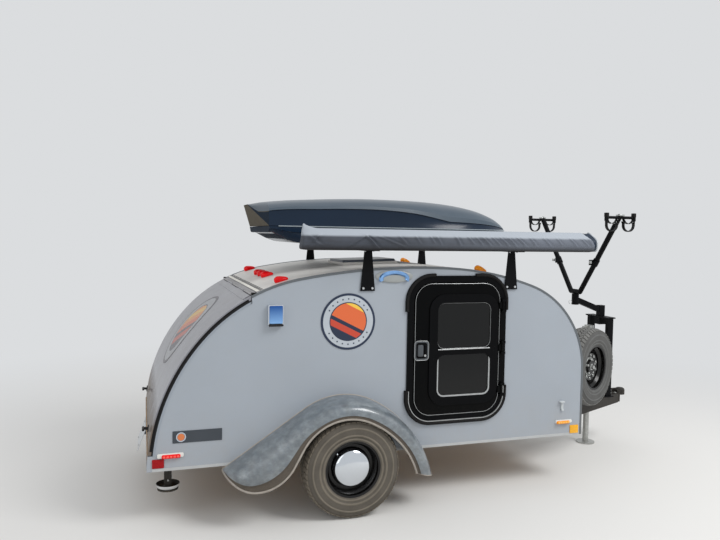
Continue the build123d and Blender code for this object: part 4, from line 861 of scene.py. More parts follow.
# x and z of the base, the lens and the reflector, then where the roof's lamps sit along it and across it
for kind, finishes, base, lit, reflector, roof_x, roof_ys in (
    ("red", (red_lens, lamp_white, red_prism, red_cell), (58, 208, 79, 104), (83, 190, 76, 99),
     (30, 97, 20, 72), 800, (-657, -150, 0, 150, 657)),
    ("amber", (amber_lens, lamp_white, amber_prism, amber_cell), (2742, 2873, 91, 114), (2746, 2851, 88, 109),
     (2863, 2931, 12, 70), 2160, (-690, 690)),
):
    mesh = bmesh.new()
    for side in (-1, 1):
        plate(mesh, *base, 8, side, 0, 12, 3, index=1)
        plate(mesh, *lit, 9, side, 4, 21, 6, dome=2)
        for k in range(5):
            x = lit[0] + 14 + (lit[1] - lit[0] - 28) * k / 4
            plate(mesh, x - 7, x + 7, lit[2] + 6, lit[3] - 5, 3, side, 20, 25, 2, index=3, steps=3)
        plate(mesh, *reflector, 3, side, 0, 6, 1.5, index=2, steps=3)
    for y in roof_ys:
        z, fall = roof_at(roof_x)
        part = bmesh.new()
        bullet = [(radius, offset + 18) for radius, offset in BULLET]
        turned(part, bullet, Vector((-0.018, 0, 0.014)), (cos(NOD), 0, sin(NOD)), 32)
        shell = part.verts[:] + part.edges[:] + part.faces[:]
        bmesh.ops.bisect_plane(part, geom=shell, plane_co=(0, 0, 0.001), plane_no=(0, 0, -1), clear_outer=True)
        bmesh.ops.holes_fill(part, edges=[e for e in part.edges if e.is_boundary], sides=0)
        bmesh.ops.transform(part, matrix=Matrix.Translation(at(roof_x, y, z)) @ Matrix.Rotation(fall, 4, "Y"),
                            verts=part.verts)
        into(mesh, part)
    piece(f"{kind}_lamp_lenses", mesh, "trailer", finishes, sharp=30,
          instead=[f"{kind}_lamps"])

# Side badge and name plate: printed aluminium discs with a plain design of slanting bands in a grey and a
# navy ring, and a blank dark plate with a small disc at its left.
# Prints on aluminium: flat even colours with a faint satin sheen. Anodised plate: a dull dark grey.
navy_print = weathered("navy_print_on_aluminium", "#1d2a42", 0.35, patch=10, varies=0.04)
grey_print = weathered("silver_grey_print_on_aluminium", "#b3bac1", 0.35, patch=10, varies=0.04)
plate_grey = weathered("dark_grey_anodised_plate", "#3f454c", 0.45, patch=10, varies=0.05, dusty=0.01,
                       shine=0.3)
small_print = weathered("orange_print_on_aluminium", "#d77a45", 0.35, patch=10, varies=0.04)
BADGE_X, BADGE_Z, BADGE_RADIUS = 1208, 851, 178
banded = weathered("banded_print_on_aluminium", "#d9593a", 0.35, patch=10, varies=0.03)
band_tree = banded.node_tree
band_place = add(band_tree, "ShaderNodeTexCoord").outputs["Object"]
band_shift = add(band_tree, "ShaderNodeVectorMath", {0: band_place, 1: at(BADGE_X, 0, BADGE_Z)},
                 operation="SUBTRACT")
# across the disc, 118 mm each way from its middle, from low behind to high in front
band_along = add(band_tree, "ShaderNodeVectorMath", {0: band_shift.outputs[0], 1: (0.45, 0.0, 0.89)},
                 operation="DOT_PRODUCT")
band_level = add(band_tree, "ShaderNodeMapRange", {"Value": band_along.outputs["Value"], "From Min": -0.118,
                                                   "From Max": 0.118})
band_ramp = add(band_tree, "ShaderNodeValToRGB", {"Fac": band_level.outputs["Result"]})
band_ramp.color_ramp.interpolation = "CONSTANT"
# where each band starts across the disc, and its colour
BANDS = ((0.0, "#1d2a42"), (0.2, "#c4452f"), (0.36, "#1d2a42"), (0.46, "#dc6838"), (0.62, "#e9963c"),
         (0.76, "#f0c34a"), (0.9, "#e9963c"))
for k, (begins, colour) in enumerate(BANDS):
    stop = band_ramp.color_ramp.elements[k] if k < 2 else band_ramp.color_ramp.elements.new(0.5)
    stop.position = begins
    stop.color = linear(colour)
band_tree.links.new(band_ramp.outputs["Color"], band_tree.nodes["Principled BSDF"].inputs["Base Color"])
dress(plate_grey, "name_plates")
dress(navy_print, "side_badges")
mesh = bmesh.new()
for side in (-1, 1):
    out = (0, side, 0)
    for cx, cz, radius, design in ((BADGE_X, BADGE_Z, BADGE_RADIUS, 2), (193, 195, 31, 3)):
        centre = at(cx, side * (HALF + 3), cz)
        for share, lift, index in ((1.0, 0.2, 0), (0.92, 0.4, 1), (0.69, 0.6, 0), (0.655, 0.8, design)):
            edge = radius * share
            turned(mesh, [(0, 0), (edge, 0), (edge, lift), (0, lift)], centre, out, 72, index)
    for k in range(24):
        t = 2 * pi * k / 24
        if abs(sin(t)) > 0.3:
            spot = at(BADGE_X + 143 * cos(t), side * (HALF + 3.4), BADGE_Z + 143 * sin(t))
            turned(mesh, [(0, 0), (5, 0), (5, 0.3), (0, 0.3)], spot, out, 16, 0)
piece("side_roundels", mesh, "trailer", [navy_print, grey_print, banded, small_print])

# Rear roundel: a large print of the same design on the hatch, which follows its curve. It is a thin film,
# cut to each band's shape and pressed onto the enamel.
# the outline just over the skin, and the print's middle along it and its radius
OUTLINE = body_line(inset=-1.2, step=6)
ROUNDEL_X, ROUNDEL_RADIUS = 270, 296


def on_hatch(centre, along, across):
    """A place just over the hatch's skin, along millimetres up its curve from the point at index centre."""
    left, k = abs(along), centre
    step = -1 if along > 0 else 1
    while True:
        here, there = OUTLINE[k], OUTLINE[k + step]
        run = ((there[0] - here[0]) ** 2 + (there[1] - here[1]) ** 2) ** 0.5
        if left <= run:
            share = left / run
            return at(here[0] + (there[0] - here[0]) * share, across, here[1] + (there[1] - here[1]) * share)
        left, k = left - run, k + step


# the outline's point nearest to that x on the hatch, not on the sill that is under it
above_sill = [k for k, place in enumerate(OUTLINE) if place[1] >= HATCH_FOOT]
roundel_middle = min(above_sill, key=lambda k: abs(OUTLINE[k][0] - ROUNDEL_X))
# Printed film: the side badge's colours under a pale grey veil.
hatch_bands = []
for k, colour in enumerate(("#1d2a42", "#a2a9b0", "#c4452f", "#dc6838", "#e9963c", "#f0c34a")):
    hatch_bands.append(weathered(f"banded_print_on_hatch_{k}", colour, 0.35, coat=0.2, patch=10, varies=0.05,
                                 dust="#a29d9b", dusty=0.46))
mesh = bmesh.new()
turns = [2 * pi * k / 96 for k in range(96)]
for low, high, index in ((0.92, 1.0, 0), (0.69, 0.92, 1), (0.655, 0.69, 0)):
    rings = [[on_hatch(roundel_middle, ROUNDEL_RADIUS * share * sin(t), ROUNDEL_RADIUS * share * cos(t))
              for t in turns] for share in (low, high)]
    loft(mesh, rings, caps=False, index=index)
# levels across the disc where one band ends and the next starts, and the bands' slant as cosine and sine
DISC = ROUNDEL_RADIUS * 0.655
LEVELS = (-1.0, -0.6, -0.28, -0.08, 0.24, 0.52, 0.8, 0.9999)
LEAN_COS, LEAN_SIN = 0.89, 0.456
for low, high, index in zip(LEVELS, LEVELS[1:], (0, 2, 0, 3, 4, 5, 4)):
    rings = []
    for k in range(5):
        level = low + (high - low) * k / 4
        half = max(0.001, 1 - level * level) ** 0.5
        spread = [half * (2 * n / 24 - 1) for n in range(25)]
        rings.append([on_hatch(roundel_middle, DISC * (level * LEAN_COS - reach * LEAN_SIN),
                               DISC * (reach * LEAN_COS + level * LEAN_SIN)) for reach in spread])
    loft(mesh, rings, wrap=False, index=index)
piece("hatch_roundel", mesh, "hatch", hatch_bands)

# Roof rack: plate steel brackets on the walls in black powder coat with crossbars between them, each foot
# held by two plated bolts, and clamps that hold the cargo box.
# Powder coat on plate: near black with a fine even texture.
rack_coat = weathered("black_powder_coat_on_steel_plate", "#0c0d10", 0.45, patch=14, varies=0.1, grain=1400,
                      depth=0.00004, dusty=0.006, dust="#5f5548", shine=0.08)
# Bolt heads: small bright points on the black.
bolt_zinc = weathered("bright_zinc_bolt_head", "#c9ccce", 0.3, metallic=0.5, patch=60, varies=0.1)
# x of the crossbars with their brackets, and half the clamps' distance apart
BRACKETS, CLAMP_Y = (1331, 2354), 250
dress(rack_coat, "roof_rack")
mesh = bmesh.new()
for side in (-1, 1):
    for x in BRACKETS:
        for end in (-1, 1):
            stud(mesh, at(x + end * 30, side * (HALF + 10.5), 1060), (0, side, 0), 8, 5, steps=6)
            stud(mesh, at(x + end * 28, side * (HALF + 30), 1297), (0, 0, -1), 7, 6, steps=6)
piece("bracket_bolts", mesh, "trailer", [bolt_zinc])
mesh = bmesh.new()
for x in BRACKETS:
    for y in (-CLAMP_Y, CLAMP_Y):
        for dx in (-22, 22):
            stud(mesh, at(x + dx, y, 1296), UP, 5, 34)
        brick(mesh, x - 34, x + 34, y - 18, y + 18, 1296, 1302, 2)
piece("box_clamps", mesh, "trailer", [rack_coat])

# Roof cargo box: a vacuum-formed gloss shell in dark blue-grey, in a base and a lid that meet on a pale
# seal. The lid's side is a sunk dark panel under a crease, its tail slopes in and its nose runs to a point.
# Formed sheet: a deep wet blue on the sides, drier on top and paler there as a painted reflection of the sky.
# Tail: a matt pebble that hides scratches, tan where it slants down as a painted reflection of the ground,
# with a little dust. Seal: a thin pale line.
box_shell = weathered("vacuum_formed_gloss_shell", "#0b1f33", 0.2, coat=0.05, patch=3, varies=0.08,
                      dusty=0.01, dust="#56606b", shine=0.25)
box_top_painted_sky = weathered("formed_shell_top_with_painted_sky_reflection", "#45525e", 0.3, coat=0.12, patch=3, varies=0.08,
                    dusty=0.03, dust="#7f878d", shine=0.35)
box_matt = weathered("matt_textured_box_tail", "#142231", 0.8, patch=8, varies=0.1, dusty=0.02,
                     dust="#5f6468", shine=0.2)
box_tail_painted_ground = weathered("tail_facet_with_painted_ground_reflection", "#4f4c43", 0.85, patch=8, varies=0.1, dusty=0.1, shine=0.2)
box_seal = weathered("pale_lid_seal", "#8f999f", 0.5, patch=20, varies=0.05)
# height where base and lid meet; x of the tail, of its slant's end and of the nose
SPLIT, BOX_TAIL, SLANT_END, BOX_NOSE = 1446, 670, 765, 2671
# half widths at the tail and along the sides, and the height that the tail's slant starts from
TAIL_HALF, BOX_HALF, TAIL_TOP = 85, 420, 1594
# x, height of the lid's ridge
LID_TOP = ((670, 1595), (765, 1613), (900, 1628), (1030, 1637), (1250, 1649), (1470, 1656), (1700, 1656),
           (1900, 1652), (2100, 1640), (2300, 1613), (2450, 1573), (2540, 1534), (2600, 1494), (2640, 1463),
           (2671, 1449))
# x, half the box's width
WIDTHS = ((765, 420), (900, 420), (1950, 420), (2120, 410), (2280, 382), (2420, 334), (2530, 272),
          (2610, 200), (2655, 132), (2671, 80))
# x, height of the base's underside
BASE_LOW = ((765, 1440), (766, 1408), (790, 1404), (815, 1394), (845, 1378), (880, 1361), (915, 1347),
            (960, 1337), (1030, 1332), (1100, 1331), (2300, 1331), (2400, 1335), (2500, 1356), (2590, 1392),
            (2650, 1425), (2671, 1440))
# x, height of the crease along the lid's side
CREASE = ((670, 1560), (735, 1540), (805, 1549), (940, 1558), (1100, 1562), (1283, 1568), (1520, 1568),
          (1781, 1550), (2000, 1510), (2174, 1473), (2400, 1452), (2671, 1447))


def box_half(x):
    """Half the box's width at x: a straight slant at the tail, then the sides and the pointed nose."""
    if x < SLANT_END:
        return TAIL_HALF + (BOX_HALF - TAIL_HALF) * (x - BOX_TAIL) / (SLANT_END - BOX_TAIL)
    return between(WIDTHS, x)


def both_halves(x, line, seam=0):
    """A ring across the box at x from its right half as (y, z); seam points at its end lie on the middle."""
    return [at(x, -y, z) for y, z in line] + [at(x, y, z) for y, z in reversed(line[:len(line) - seam])]


mesh = bmesh.new()
stations = [BOX_TAIL + (SLANT_END - BOX_TAIL) * k / 12 for k in range(13)] + [775, 790]
stations += [800 + (BOX_NOSE - 800) * k / 72 for k in range(1, 73)]
rings, creases = [], []
for x in stations:
    half, top = box_half(x), between(LID_TOP, x)
    low = max(SPLIT + 1.5, TAIL_TOP - (x - BOX_TAIL) * (TAIL_TOP - SPLIT - 1.5) / (SLANT_END - BOX_TAIL))
    crease = min(max(between(CREASE, x), low + 0.25 * (top - low)), low + 0.72 * (top - low))
    creases.append((x, crease))
    # the side panel sinks in below the crease, and the crown starts just above it
    sink, tall = min(6.0, half * 0.02), crease - low
    brow, brow_z = half - 1.4 * sink, crease + 2
    line = [(half, low), (half - sink, low + tall * 0.3), (half - 2.4 * sink, low + tall * 0.75),
            (half - 2.6 * sink, crease - 2), (brow, brow_z)]
    for part in (0.12, 0.28, 0.46, 0.64, 0.8, 0.92):
        t = radians(90 * part)
        line.append((brow * cos(t) ** 0.8, brow_z + (top - brow_z) * sin(t) ** 0.85))
    rings.append(both_halves(x, line + [(0, top)], seam=1))
loft(mesh, rings)
bmesh.ops.recalc_face_normals(mesh, faces=mesh.faces)
# faces above the crease show a painted sky reflection; faces turned back and down show a painted ground
# reflection
for face in mesh.faces:
    middle = (face.calc_center_median() - at(0, 0, 0)) * 1000
    if middle.z > between(creases, middle.x) + 1:
        face.material_index = 1
    elif face.normal.x < -0.4:
        face.material_index = 4 if face.normal.z < -0.3 else 3
rim = [(x, box_half(x) + 1.5) for x in stations if x > 795]
rim = [at(x, -y, SPLIT) for x, y in rim] + [at(x, y, SPLIT) for x, y in reversed(rim)]
swept(mesh, rim, [(-0.002, -0.0025), (0.003, -0.0025), (0.003, 0.0035), (-0.002, 0.0035)], UP, index=2)
piece("box_lid_shell", mesh, "cargo_lid", [box_shell, box_top_painted_sky, box_seal, box_matt, box_tail_painted_ground], sharp=24,
      instead=["box_lid"])
mesh = bmesh.new()
stations = [765, 766.5, 770, 776, 784, 795, 810, 830, 855, 880, 905]
rings = []
for x in stations + [905 + (BOX_NOSE - 905) * k / 60 for k in range(1, 61)]:
    half, low, high = box_half(x), between(BASE_LOW, x), SPLIT - 1.5
    deep = high - low
    # an upright rim band, a step in, and a belly that rounds under
    line = [(half, high), (half, high - min(37, deep * 0.36)), (half - 9, high - min(42, deep * 0.42))]
    for part in (0.3, 0.5, 0.7, 0.85):
        t = radians(90 * part)
        line.append((half * (0.88 + 0.11 * cos(t)), min(line[2][1], high - deep * sin(t) ** 1.1)))
    rings.append(both_halves(x, line + [(half * 0.84, low)]))
loft(mesh, rings)
bmesh.ops.recalc_face_normals(mesh, faces=mesh.faces)
for face in mesh.faces:
    face.material_index = 2 if face.normal.x < -0.4 else 0
for x in (900, 1360, 1820):  # the lid's hinges on the left edge
    brick(mesh, x - 30, x + 30, 416, 432, SPLIT - 14, SPLIT - 5, 1)
    stud(mesh, at(x - 32, 429, SPLIT), (1, 0, 0), 5.5, 64, index=1)
piece("box_base_shell", mesh, "trailer", [box_shell, zinc, box_matt], sharp=30, instead=["box_base"])

# Rolled awning: a long bag of coated cloth over a roller, held by a rail at its back top edge. It is tight
# on top, its front falls in creases that start at the shoulder, its tail end is a folded flap, and its nose
# is cut back in front of a flat end plate.
# PVC-coated cloth: a cool grey, drawn dark on the front as painted shade and paler on top as painted sunlight;
# its 1 mm weave is drawn at 3 mm so that it shows.
awning_cloth = weathered("pvc_coated_awning_cloth_with_painted_light_and_shade", "#474c55", 0.6, patch=6, varies=0.05, grain=330,
                         depth=0.0002, dusty=0.01, shine=0.15)
drawn_streaks(awning_cloth, "#3a3735", 0.3, (2.0, 2.0, 9.0), 5.0)
# End plate: a dark flat blue inside a pale moulded rim.
cap_blue = weathered("moulded_dark_blue_end_plate", "#263140", 0.5, patch=10, varies=0.05, shine=0.2)
cap_rim = weathered("pale_end_plate_rim", "#a9afb5", 0.4, patch=10, varies=0.05)
low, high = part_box("awning_bag")
AWNING_Y, AWNING_Z = -high[1] * 1000, (low[2] - BASE) * 1000
AWNING_TAIL, AWNING_NOSE, CLOTH_NOSE = 879, 2950, 2936
# the front pales towards the nose, the top is paler as painted sunlight, and the foot is darker and browner,
# partly dust and partly painted shade
faded_to(awning_cloth, "#7b818c", "X", at(1500, 0, 0).x, at(2500, 0, 0).x, 0.6)
faded_to(awning_cloth, "#a7aeb6", "Z", at(0, 0, AWNING_Z + 78).z, at(0, 0, AWNING_Z + 92).z)
faded_to(awning_cloth, "#2b2826", "Z", at(0, 0, AWNING_Z + 34).z, at(0, 0, AWNING_Z).z, 0.9)
# distance out from the wall side and height of the bag's section, from its back round over the top
SECTION = ((0, 20), (0, 60), (0, 100), (2, 126), (8, 134), (22, 132), (44, 121), (66, 109), (86, 98),
           (100, 89), (110, 80), (116, 69), (118, 56), (118, 42), (116, 29), (112, 16), (105, 6), (96, 1),
           (80, 0), (50, 0), (20, 0), (5, 6))
# of each crease, x at the shoulder, run along x down to its foot, height of its foot, depth, half its width
SHOULDER_Z = 92
CREASES = (
    (912, 70, 30, 14, 18), (985, -75, 20, 11, 16), (1277, -120, 10, 10, 20), (1277, 85, 8, 17, 13),
    (1345, 190, 20, 8, 22), (1494, 50, 35, 8, 13), (1605, 30, 40, 8, 11), (1705, 26, 45, 9, 10),
    (1749, 30, 35, 9, 11), (1880, 34, 30, 11, 12), (1966, 46, 40, 10, 11), (2021, 52, 35, 11, 11),
    (2069, 66, 30, 12, 12), (2141, 60, 35, 11, 11), (2198, 66, 30, 12, 12), (2255, 70, 25, 11, 12),
    (2321, 74, 30, 11, 13), (2421, 46, 35, 9, 11), (2523, 60, 30, 9, 13), (2626, 40, 40, 8, 11),
    (2730, 56, 30, 9, 12), (2818, 60, 35, 9, 11), (2880, 40, 25, 7, 10),
)


def crease_at(x, z):
    """How far the cloth is thrown out at a place of its front: slack in long and short waves, and creases."""
    thrown = 3.0 * noise.noise(Vector((x / 150, z / 90, 1.7)))
    thrown += 1.2 * noise.noise(Vector((x / 40, z / 60, 5.3)))
    for start, run, foot, depth, half in CREASES:
        share = (SHOULDER_Z - z) / (SHOULDER_Z - foot)
        away = (x - start - run * share) / half
        if -0.15 < share < 1 and abs(away) < 3:
            fade = min(1.0, (share + 0.15) * 4) * (1 - share) ** 0.6
            thrown += depth * fade * (1.2 * exp(-away * away) - 0.9 * exp(-(away - 1.2) ** 2))
    return thrown


mesh = bmesh.new()
rings = []
for k in range(131):
    x = AWNING_TAIL + (CLOTH_NOSE - AWNING_TAIL) * k / 130
    tail = max(0.0, 1 - (x - AWNING_TAIL) / 120) ** 1.5
    nose = max(0.0, 1 - (CLOTH_NOSE - x) / 60)
    ring = []
    for y, z in SECTION:
        # the tail's end folds in and its top corner stands up; the nose slants back above its middle
        drawn_in = tail * min(1.0, max(0.0, y - 6) / 60) * (38 * (z / 134) + 4)
        rise = tail * 32 * max(0.0, 1 - abs(y - 10) / 60) * (z / 134) ** 3
        back = nose * 46 * max(0.0, (z - 35) / 99) - tail * 20 * z / 134
        ring.append(at(x - back, -(AWNING_Y + y - drawn_in), AWNING_Z + z + rise))
    rings.append(ring)
loft(mesh, rings)
awning = piece("awning_bag_cloth", mesh, "trailer", [awning_cloth], sharp=70, instead=["awning_bag"])
settle(awning, 0.0085, 2.0, 0.003)
# the front, between the top and the foot, is thrown into its creases; it is held at both ends
for vert in awning.data.vertices:
    x = (vert.co.x - REAR) * 1000
    out = -vert.co.y * 1000 - AWNING_Y
    up = (vert.co.z - BASE) * 1000 - AWNING_Z
    loose = min(1.0, max(0.0, (out - 84) / 24)) * min(1.0, max(0.0, up / 24))
    loose *= min(1.0, max(0.0, (x - AWNING_TAIL) / 50)) * min(1.0, max(0.0, (CLOTH_NOSE - x) / 40))
    if loose > 0:
        thrown = loose * crease_at(x, up) / 1000
        vert.co.y -= thrown
        vert.co.z += thrown * 0.25
mesh = bmesh.new()
# rings of the end plate and of its rim: x, and the share of the section's size about its middle
MIDDLE_Y, MIDDLE_Z = 58, 62
END_RINGS = (((2890, 0.84), (2944, 0.90)), ((2943, 0.96), (2944, 1.0), (2951, 1.0), (2952, 0.97)))
for index, ends in enumerate(END_RINGS):
    rings = []
    for x, share in ends:
        rings.append([at(x, -(AWNING_Y + MIDDLE_Y + (y - MIDDLE_Y) * share),
                         AWNING_Z + MIDDLE_Z + (z - MIDDLE_Z) * share) for y, z in SECTION])
    loft(mesh, rings, index=index)
# the rail takes the trims' anodised finish, drawn dark as painted shade
rail = [at(x, -(AWNING_Y - 1), AWNING_Z + 120) for x in (AWNING_TAIL + 30, 1900, AWNING_NOSE - 30)]
swept(mesh, rail, [(-0.004, -0.006), (0.004, -0.006), (0.004, 0.006), (-0.004, 0.006)], UP, index=2)
piece("awning_end_plate", mesh, "trailer", [cap_blue, cap_rim, anodised])

# Roof vent: a pale moulded curb screwed to the roof, shown as the CAD has it, under a low lid of smoke-grey
# acrylic that is hinged at one edge.
# Acrylic: grey-blue with a soft shine, hazed by dust, and drawn darker as painted shade from the box above.
smoke_acrylic = weathered("smoke_grey_acrylic_lid_with_painted_shade", "#4b535f", 0.3, coat=0.2, patch=8, varies=0.08,
                          dusty=0.05, dust="#8f9092", shine=0.3)
dress(smoke_acrylic, "vent_lid")

# Small fittings: a pale moulded door holder, screwed to each wall in front of the door, and the blank licence
# plate below the hatch, held by four screws.
# Moulded holder: a pale even grey. Plate: a cool off-white under a film of dust.
grey_fitting = weathered("pale_moulded_door_holder", "#bfc4c6", 0.45, patch=20, varies=0.05)
plate_white = weathered("blank_reflective_plate", "#c9ced2", 0.35, patch=10, varies=0.03, dusty=0.1)
dress(plate_white, "licence_plate")
mesh = bmesh.new()
for side in (-1, 1):
    plate(mesh, 2783, 2801, 178, 246, 4, side, 0, 10, 3)
    plate(mesh, 2766, 2804, 240, 250, 4, side, 0, 24, 3)
    plate(mesh, 2783, 2801, 180, 192, 4, side, 0, 16, 3)
piece("door_holders", mesh, "trailer", [grey_fitting])
# the plate leans back by this angle; its screws are this far down and up from its middle
PLATE_LEAN, SCREWS_UP = radians(20), (-54, 62)
mesh = bmesh.new()
for y in (-90, 90):
    for u in SCREWS_UP:
        place = at(-30 + u * sin(PLATE_LEAN), y, 12 + u * cos(PLATE_LEAN))
        stud(mesh, place, (-cos(PLATE_LEAN), 0, sin(PLATE_LEAN)), 6, 3, steps=12)
piece("licence_plate_screws", mesh, "trailer", [zinc])

# Spare wheel on its post: the same tyre and wheel, clamped by a large nut, with plated nuts and slots in its
# disc. The jack beside it is zinc-plated steel tube with a crank, bolted to the tongue.
spare_place = middle_of("spare_wheel")
spare_turn = radians(27)
spare_out = Vector((sin(spare_turn), -cos(spare_turn), 0))
spare_level = Vector((cos(spare_turn), sin(spare_turn), 0))
tyre("spare_tyre_moulded", "trailer", spare_place, spare_out, "spare_tyre",
     [tread_clean, wall_clean, ring_clean])
mesh = bmesh.new()
# five wheel nuts and the rims of ten slots: count, radius of their circle, offset, profile, sides
for count, radius, off, profile, steps in (
    (5, 57, 22, ((0, 0), (11, 0), (11, 18), (8, 21), (0, 21)), 6),
    (10, 92, 26, ((9, 0), (12, 4), (10, 7), (7, 5), (7, 0), (9, 0)), 20),
):
    for k in range(count):
        t = 2 * pi * k / count + 0.3
        spot = spare_place + spare_level * (radius * cos(t) / 1000) + Vector((0, 0, radius * sin(t) / 1000))
        turned(mesh, profile, spot + spare_out * off / 1000, spare_out, steps)
turned(mesh, [(0, 62), (14, 62), (17, 58), (17, 44), (28, 42), (28, 38), (0, 38)], spare_place, spare_out, 6)
turned(mesh, [(62, 20), (66, 26), (72, 27), (76, 24), (76, 20)], spare_place, spare_out, 64)
piece("spare_wheel_nuts", mesh, "trailer", [zinc])
dress(zinc, "jack_tube", "jack_leg")

# Bike rack on the tongue: a tower, an arm and a swivelling mast of black square and round tube, with rubber
# cradles and ribbed straps at the tips, clamp levers half way up and a hitch pin through the sleeve.
# Worn rubber ribs: grey flecks that pick the straps out of the black.
strap_rib = weathered("worn_rubber_strap_rib", "#4e5053", 0.6, patch=40, varies=0.15)
dress(rack_coat, "rack_tower", "rack_arm", "rack_mast")
MAST, TIP_Y, CRADLE_Z = 3425, 522, 1557
# middle and radius of a strap's round foot, and the strap's line from its tip outside round to its hook
LOOP_X, LOOP_Z, LOOP_RADIUS = 76, 1500, 47
STRAP = [(123, 1588), (124, 1560), (124, 1530), (123, 1505)]
STRAP += [(LOOP_X + LOOP_RADIUS * cos(radians(t)), LOOP_Z + LOOP_RADIUS * sin(radians(t)))
          for t in range(-10, -171, -16)]
STRAP += [(30, 1512), (22, 1528)]
mesh = bmesh.new()
for side in (-1, 1):
    for end in (-1, 1):
        x = MAST + end * 123
        brick(mesh, x - 12, x + 12, side * TIP_Y - 16, side * TIP_Y + 16, 1560, 1592, 4)
        for k in range(6):
            t = radians(200 + 28 * k)
            cx = MAST + end * 75
            for y in (-13.4, 13.4):
                spot = at(cx + 45.5 * cos(t), side * TIP_Y + y, CRADLE_Z + 45.5 * sin(t))
                stud(mesh, spot, (0, y, 0), 3, 0.6, index=1, steps=8)
    brick(mesh, MAST - 24, MAST + 24, side * TIP_Y - 22, side * TIP_Y + 22, 1568, 1580, 3, index=1)
    brick(mesh, MAST - 62, MAST - 42, side * 252 - 8, side * 252 + 8, 1195, 1218, 3, index=1)
    for end in (-1, 1):
        path = [at(MAST + end * dx, side * TIP_Y, z) for dx, z in STRAP]
        swept(mesh, path, [(-0.003, -0.013), (0.003, -0.013), (0.003, 0.013), (-0.003, 0.013)], (0, 1, 0))
        for dx, z in STRAP[1:-1]:
            inward = Vector((end * (LOOP_X - dx), 0, max(0, LOOP_Z - z)))
            for y in (-9, 9):
                spot = at(MAST + end * dx, side * TIP_Y + y, z)
                stud(mesh, spot, inward, 3.5, 5, index=2, steps=8)
piece("mast_cradles", mesh, "mast", [edge_rubber, zinc, strap_rib])
# the hitch pin's pull ring
mesh = bmesh.new()
ring = [at(3369 + 15 * cos(2 * pi * k / 20), -12, 866 + 15 * sin(2 * pi * k / 20)) for k in range(20)]
swept(mesh, ring, round_section(0.0018), (0, 1, 0), closed=True)
piece("hitch_pin", mesh, "trailer", [zinc])

# Studio: a plain pale floor under the tyres that pales into the backdrop away from the trailer, a pale
# world that lights it softly, and two soft lamps above the camera's shoulder.
BACKDROP = linear("#e0e2e4")


def seen_directly(tree):
    """1 on rays that show a surface to the eye, straight, in a gloss or through glass, and 0 on others."""
    rays = add(tree, "ShaderNodeLightPath").outputs
    share = rays["Is Camera Ray"]
    for kind in ("Is Glossy Ray", "Is Transmission Ray"):
        share = add(tree, "ShaderNodeMath", {0: share, 1: rays[kind]}, operation="MAXIMUM").outputs[0]
    return share


# Matt floor paint: a warm pale grey that holds the trailer's shadow and loses its edge to the backdrop.
floor_paint = bpy.data.materials.new("plain_studio_floor")
floor_paint.use_nodes = True
paint_tree = floor_paint.node_tree
paint_shader = paint_tree.nodes["Principled BSDF"]
for socket, value in (("Base Color", linear("#e3e2df")), ("Roughness", 0.9), ("Specular IOR Level", 0.1)):
    paint_shader.inputs[socket].default_value = value
paint_place = add(paint_tree, "ShaderNodeTexCoord").outputs["Object"]
paint_away = add(paint_tree, "ShaderNodeVectorMath", {0: paint_place, 1: (-2.0, 0.0, 0.0)},
                 operation="DISTANCE")
paint_fade = add(paint_tree, "ShaderNodeMapRange", {"Value": paint_away.outputs["Value"], "From Min": 1.8,
                                                    "From Max": 6.5}, interpolation_type="SMOOTHSTEP")
paint_direct = seen_directly(paint_tree)
paint_share = add(paint_tree, "ShaderNodeMath", {0: paint_fade.outputs["Result"], 1: paint_direct},
                  operation="MULTIPLY")
paint_far = add(paint_tree, "ShaderNodeEmission", {"Color": BACKDROP, "Strength": 0.95})
paint_mix = add(paint_tree, "ShaderNodeMixShader", {0: paint_share.outputs[0], 1: paint_shader.outputs[0],
                                                    2: paint_far.outputs[0]})
paint_tree.links.new(paint_mix.outputs[0], paint_tree.nodes["Material Output"].inputs["Surface"])
mesh = bmesh.new()
ground = min(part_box("tyre_right")[0][2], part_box("tyre_left")[0][2])
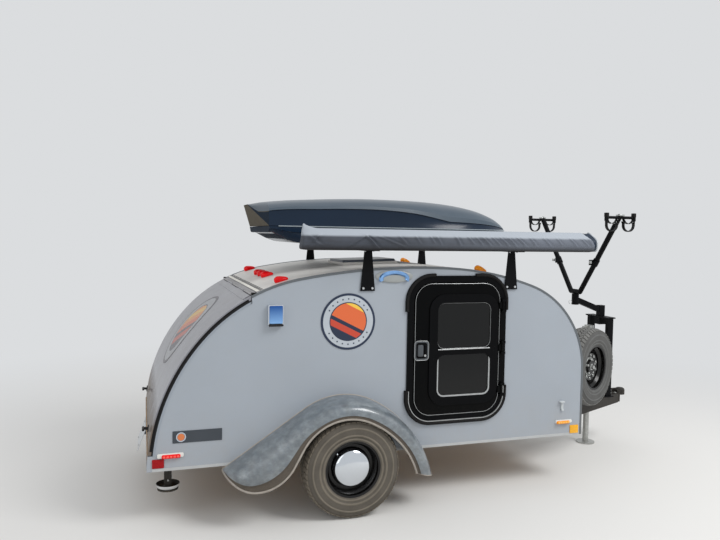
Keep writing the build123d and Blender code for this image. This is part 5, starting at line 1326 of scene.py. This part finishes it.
bmesh.ops.create_grid(mesh, x_segments=1, y_segments=1, size=60, matrix=Matrix.Translation((0, 0, ground)))
data = bpy.data.meshes.new("studio_floor")
mesh.to_mesh(data)
mesh.free()
data.materials.append(floor_paint)
floor = bpy.data.objects.new("studio_floor", data)
bpy.context.scene.collection.objects.link(floor)

# World and lamps: a plain soft light, with the backdrop's colour where the eye meets it.
world = bpy.data.worlds.new("studio")
bpy.context.scene.world = world
world.use_nodes = True
sky = world.node_tree
sky.nodes.clear()
soft = add(sky, "ShaderNodeBackground", {"Color": linear("#f0f1f3"), "Strength": 0.78})
pale = add(sky, "ShaderNodeBackground", {"Color": BACKDROP, "Strength": 0.95})
mixed = add(sky, "ShaderNodeMixShader", {0: seen_directly(sky), 1: soft.outputs[0], 2: pale.outputs[0]})
add(sky, "ShaderNodeOutputWorld", {"Surface": mixed.outputs[0]})
for name, power, size, place, target in (
    ("key_softbox", 330, 3.2, (1.6, -4.6, 6.0), (-2.2, -0.4, 0.3)),
    ("fill_softbox", 60, 5.0, (-8.0, -4.5, 3.2), (-2.4, 0, 0.4)),
):
    lamp = bpy.data.lights.new(name, "AREA")
    lamp.energy = power
    lamp.size = size
    holder = bpy.data.objects.new(name, lamp)
    look = Vector(target) - Vector(place)
    holder.matrix_world = Matrix.Translation(place) @ look.to_track_quat("-Z", "Y").to_matrix().to_4x4()
    bpy.context.scene.collection.objects.link(holder)

# Camera: 4 m off the right side, level with the body's rear end and 1.7 m above the ground, which is the
# photograph's own viewing angle.
STAND, PAN, TILT, ROLL = (-3.9205, -4.7730, 1.3221), radians(-17.91), radians(90 - 3.0), radians(0.89)
lens = bpy.data.cameras.new("front_camera")
lens.sensor_width = 36
lens.lens = 33.55
camera = bpy.data.objects.new("front_camera", lens)
turn = Matrix.Rotation(PAN, 4, "Z") @ Matrix.Rotation(TILT, 4, "X") @ Matrix.Rotation(ROLL, 4, "Z")
camera.matrix_world = Matrix.Translation(STAND) @ turn
bpy.context.scene.collection.objects.link(camera)
bpy.context.scene.camera = camera
bpy.context.scene.view_settings.view_transform = "Standard"
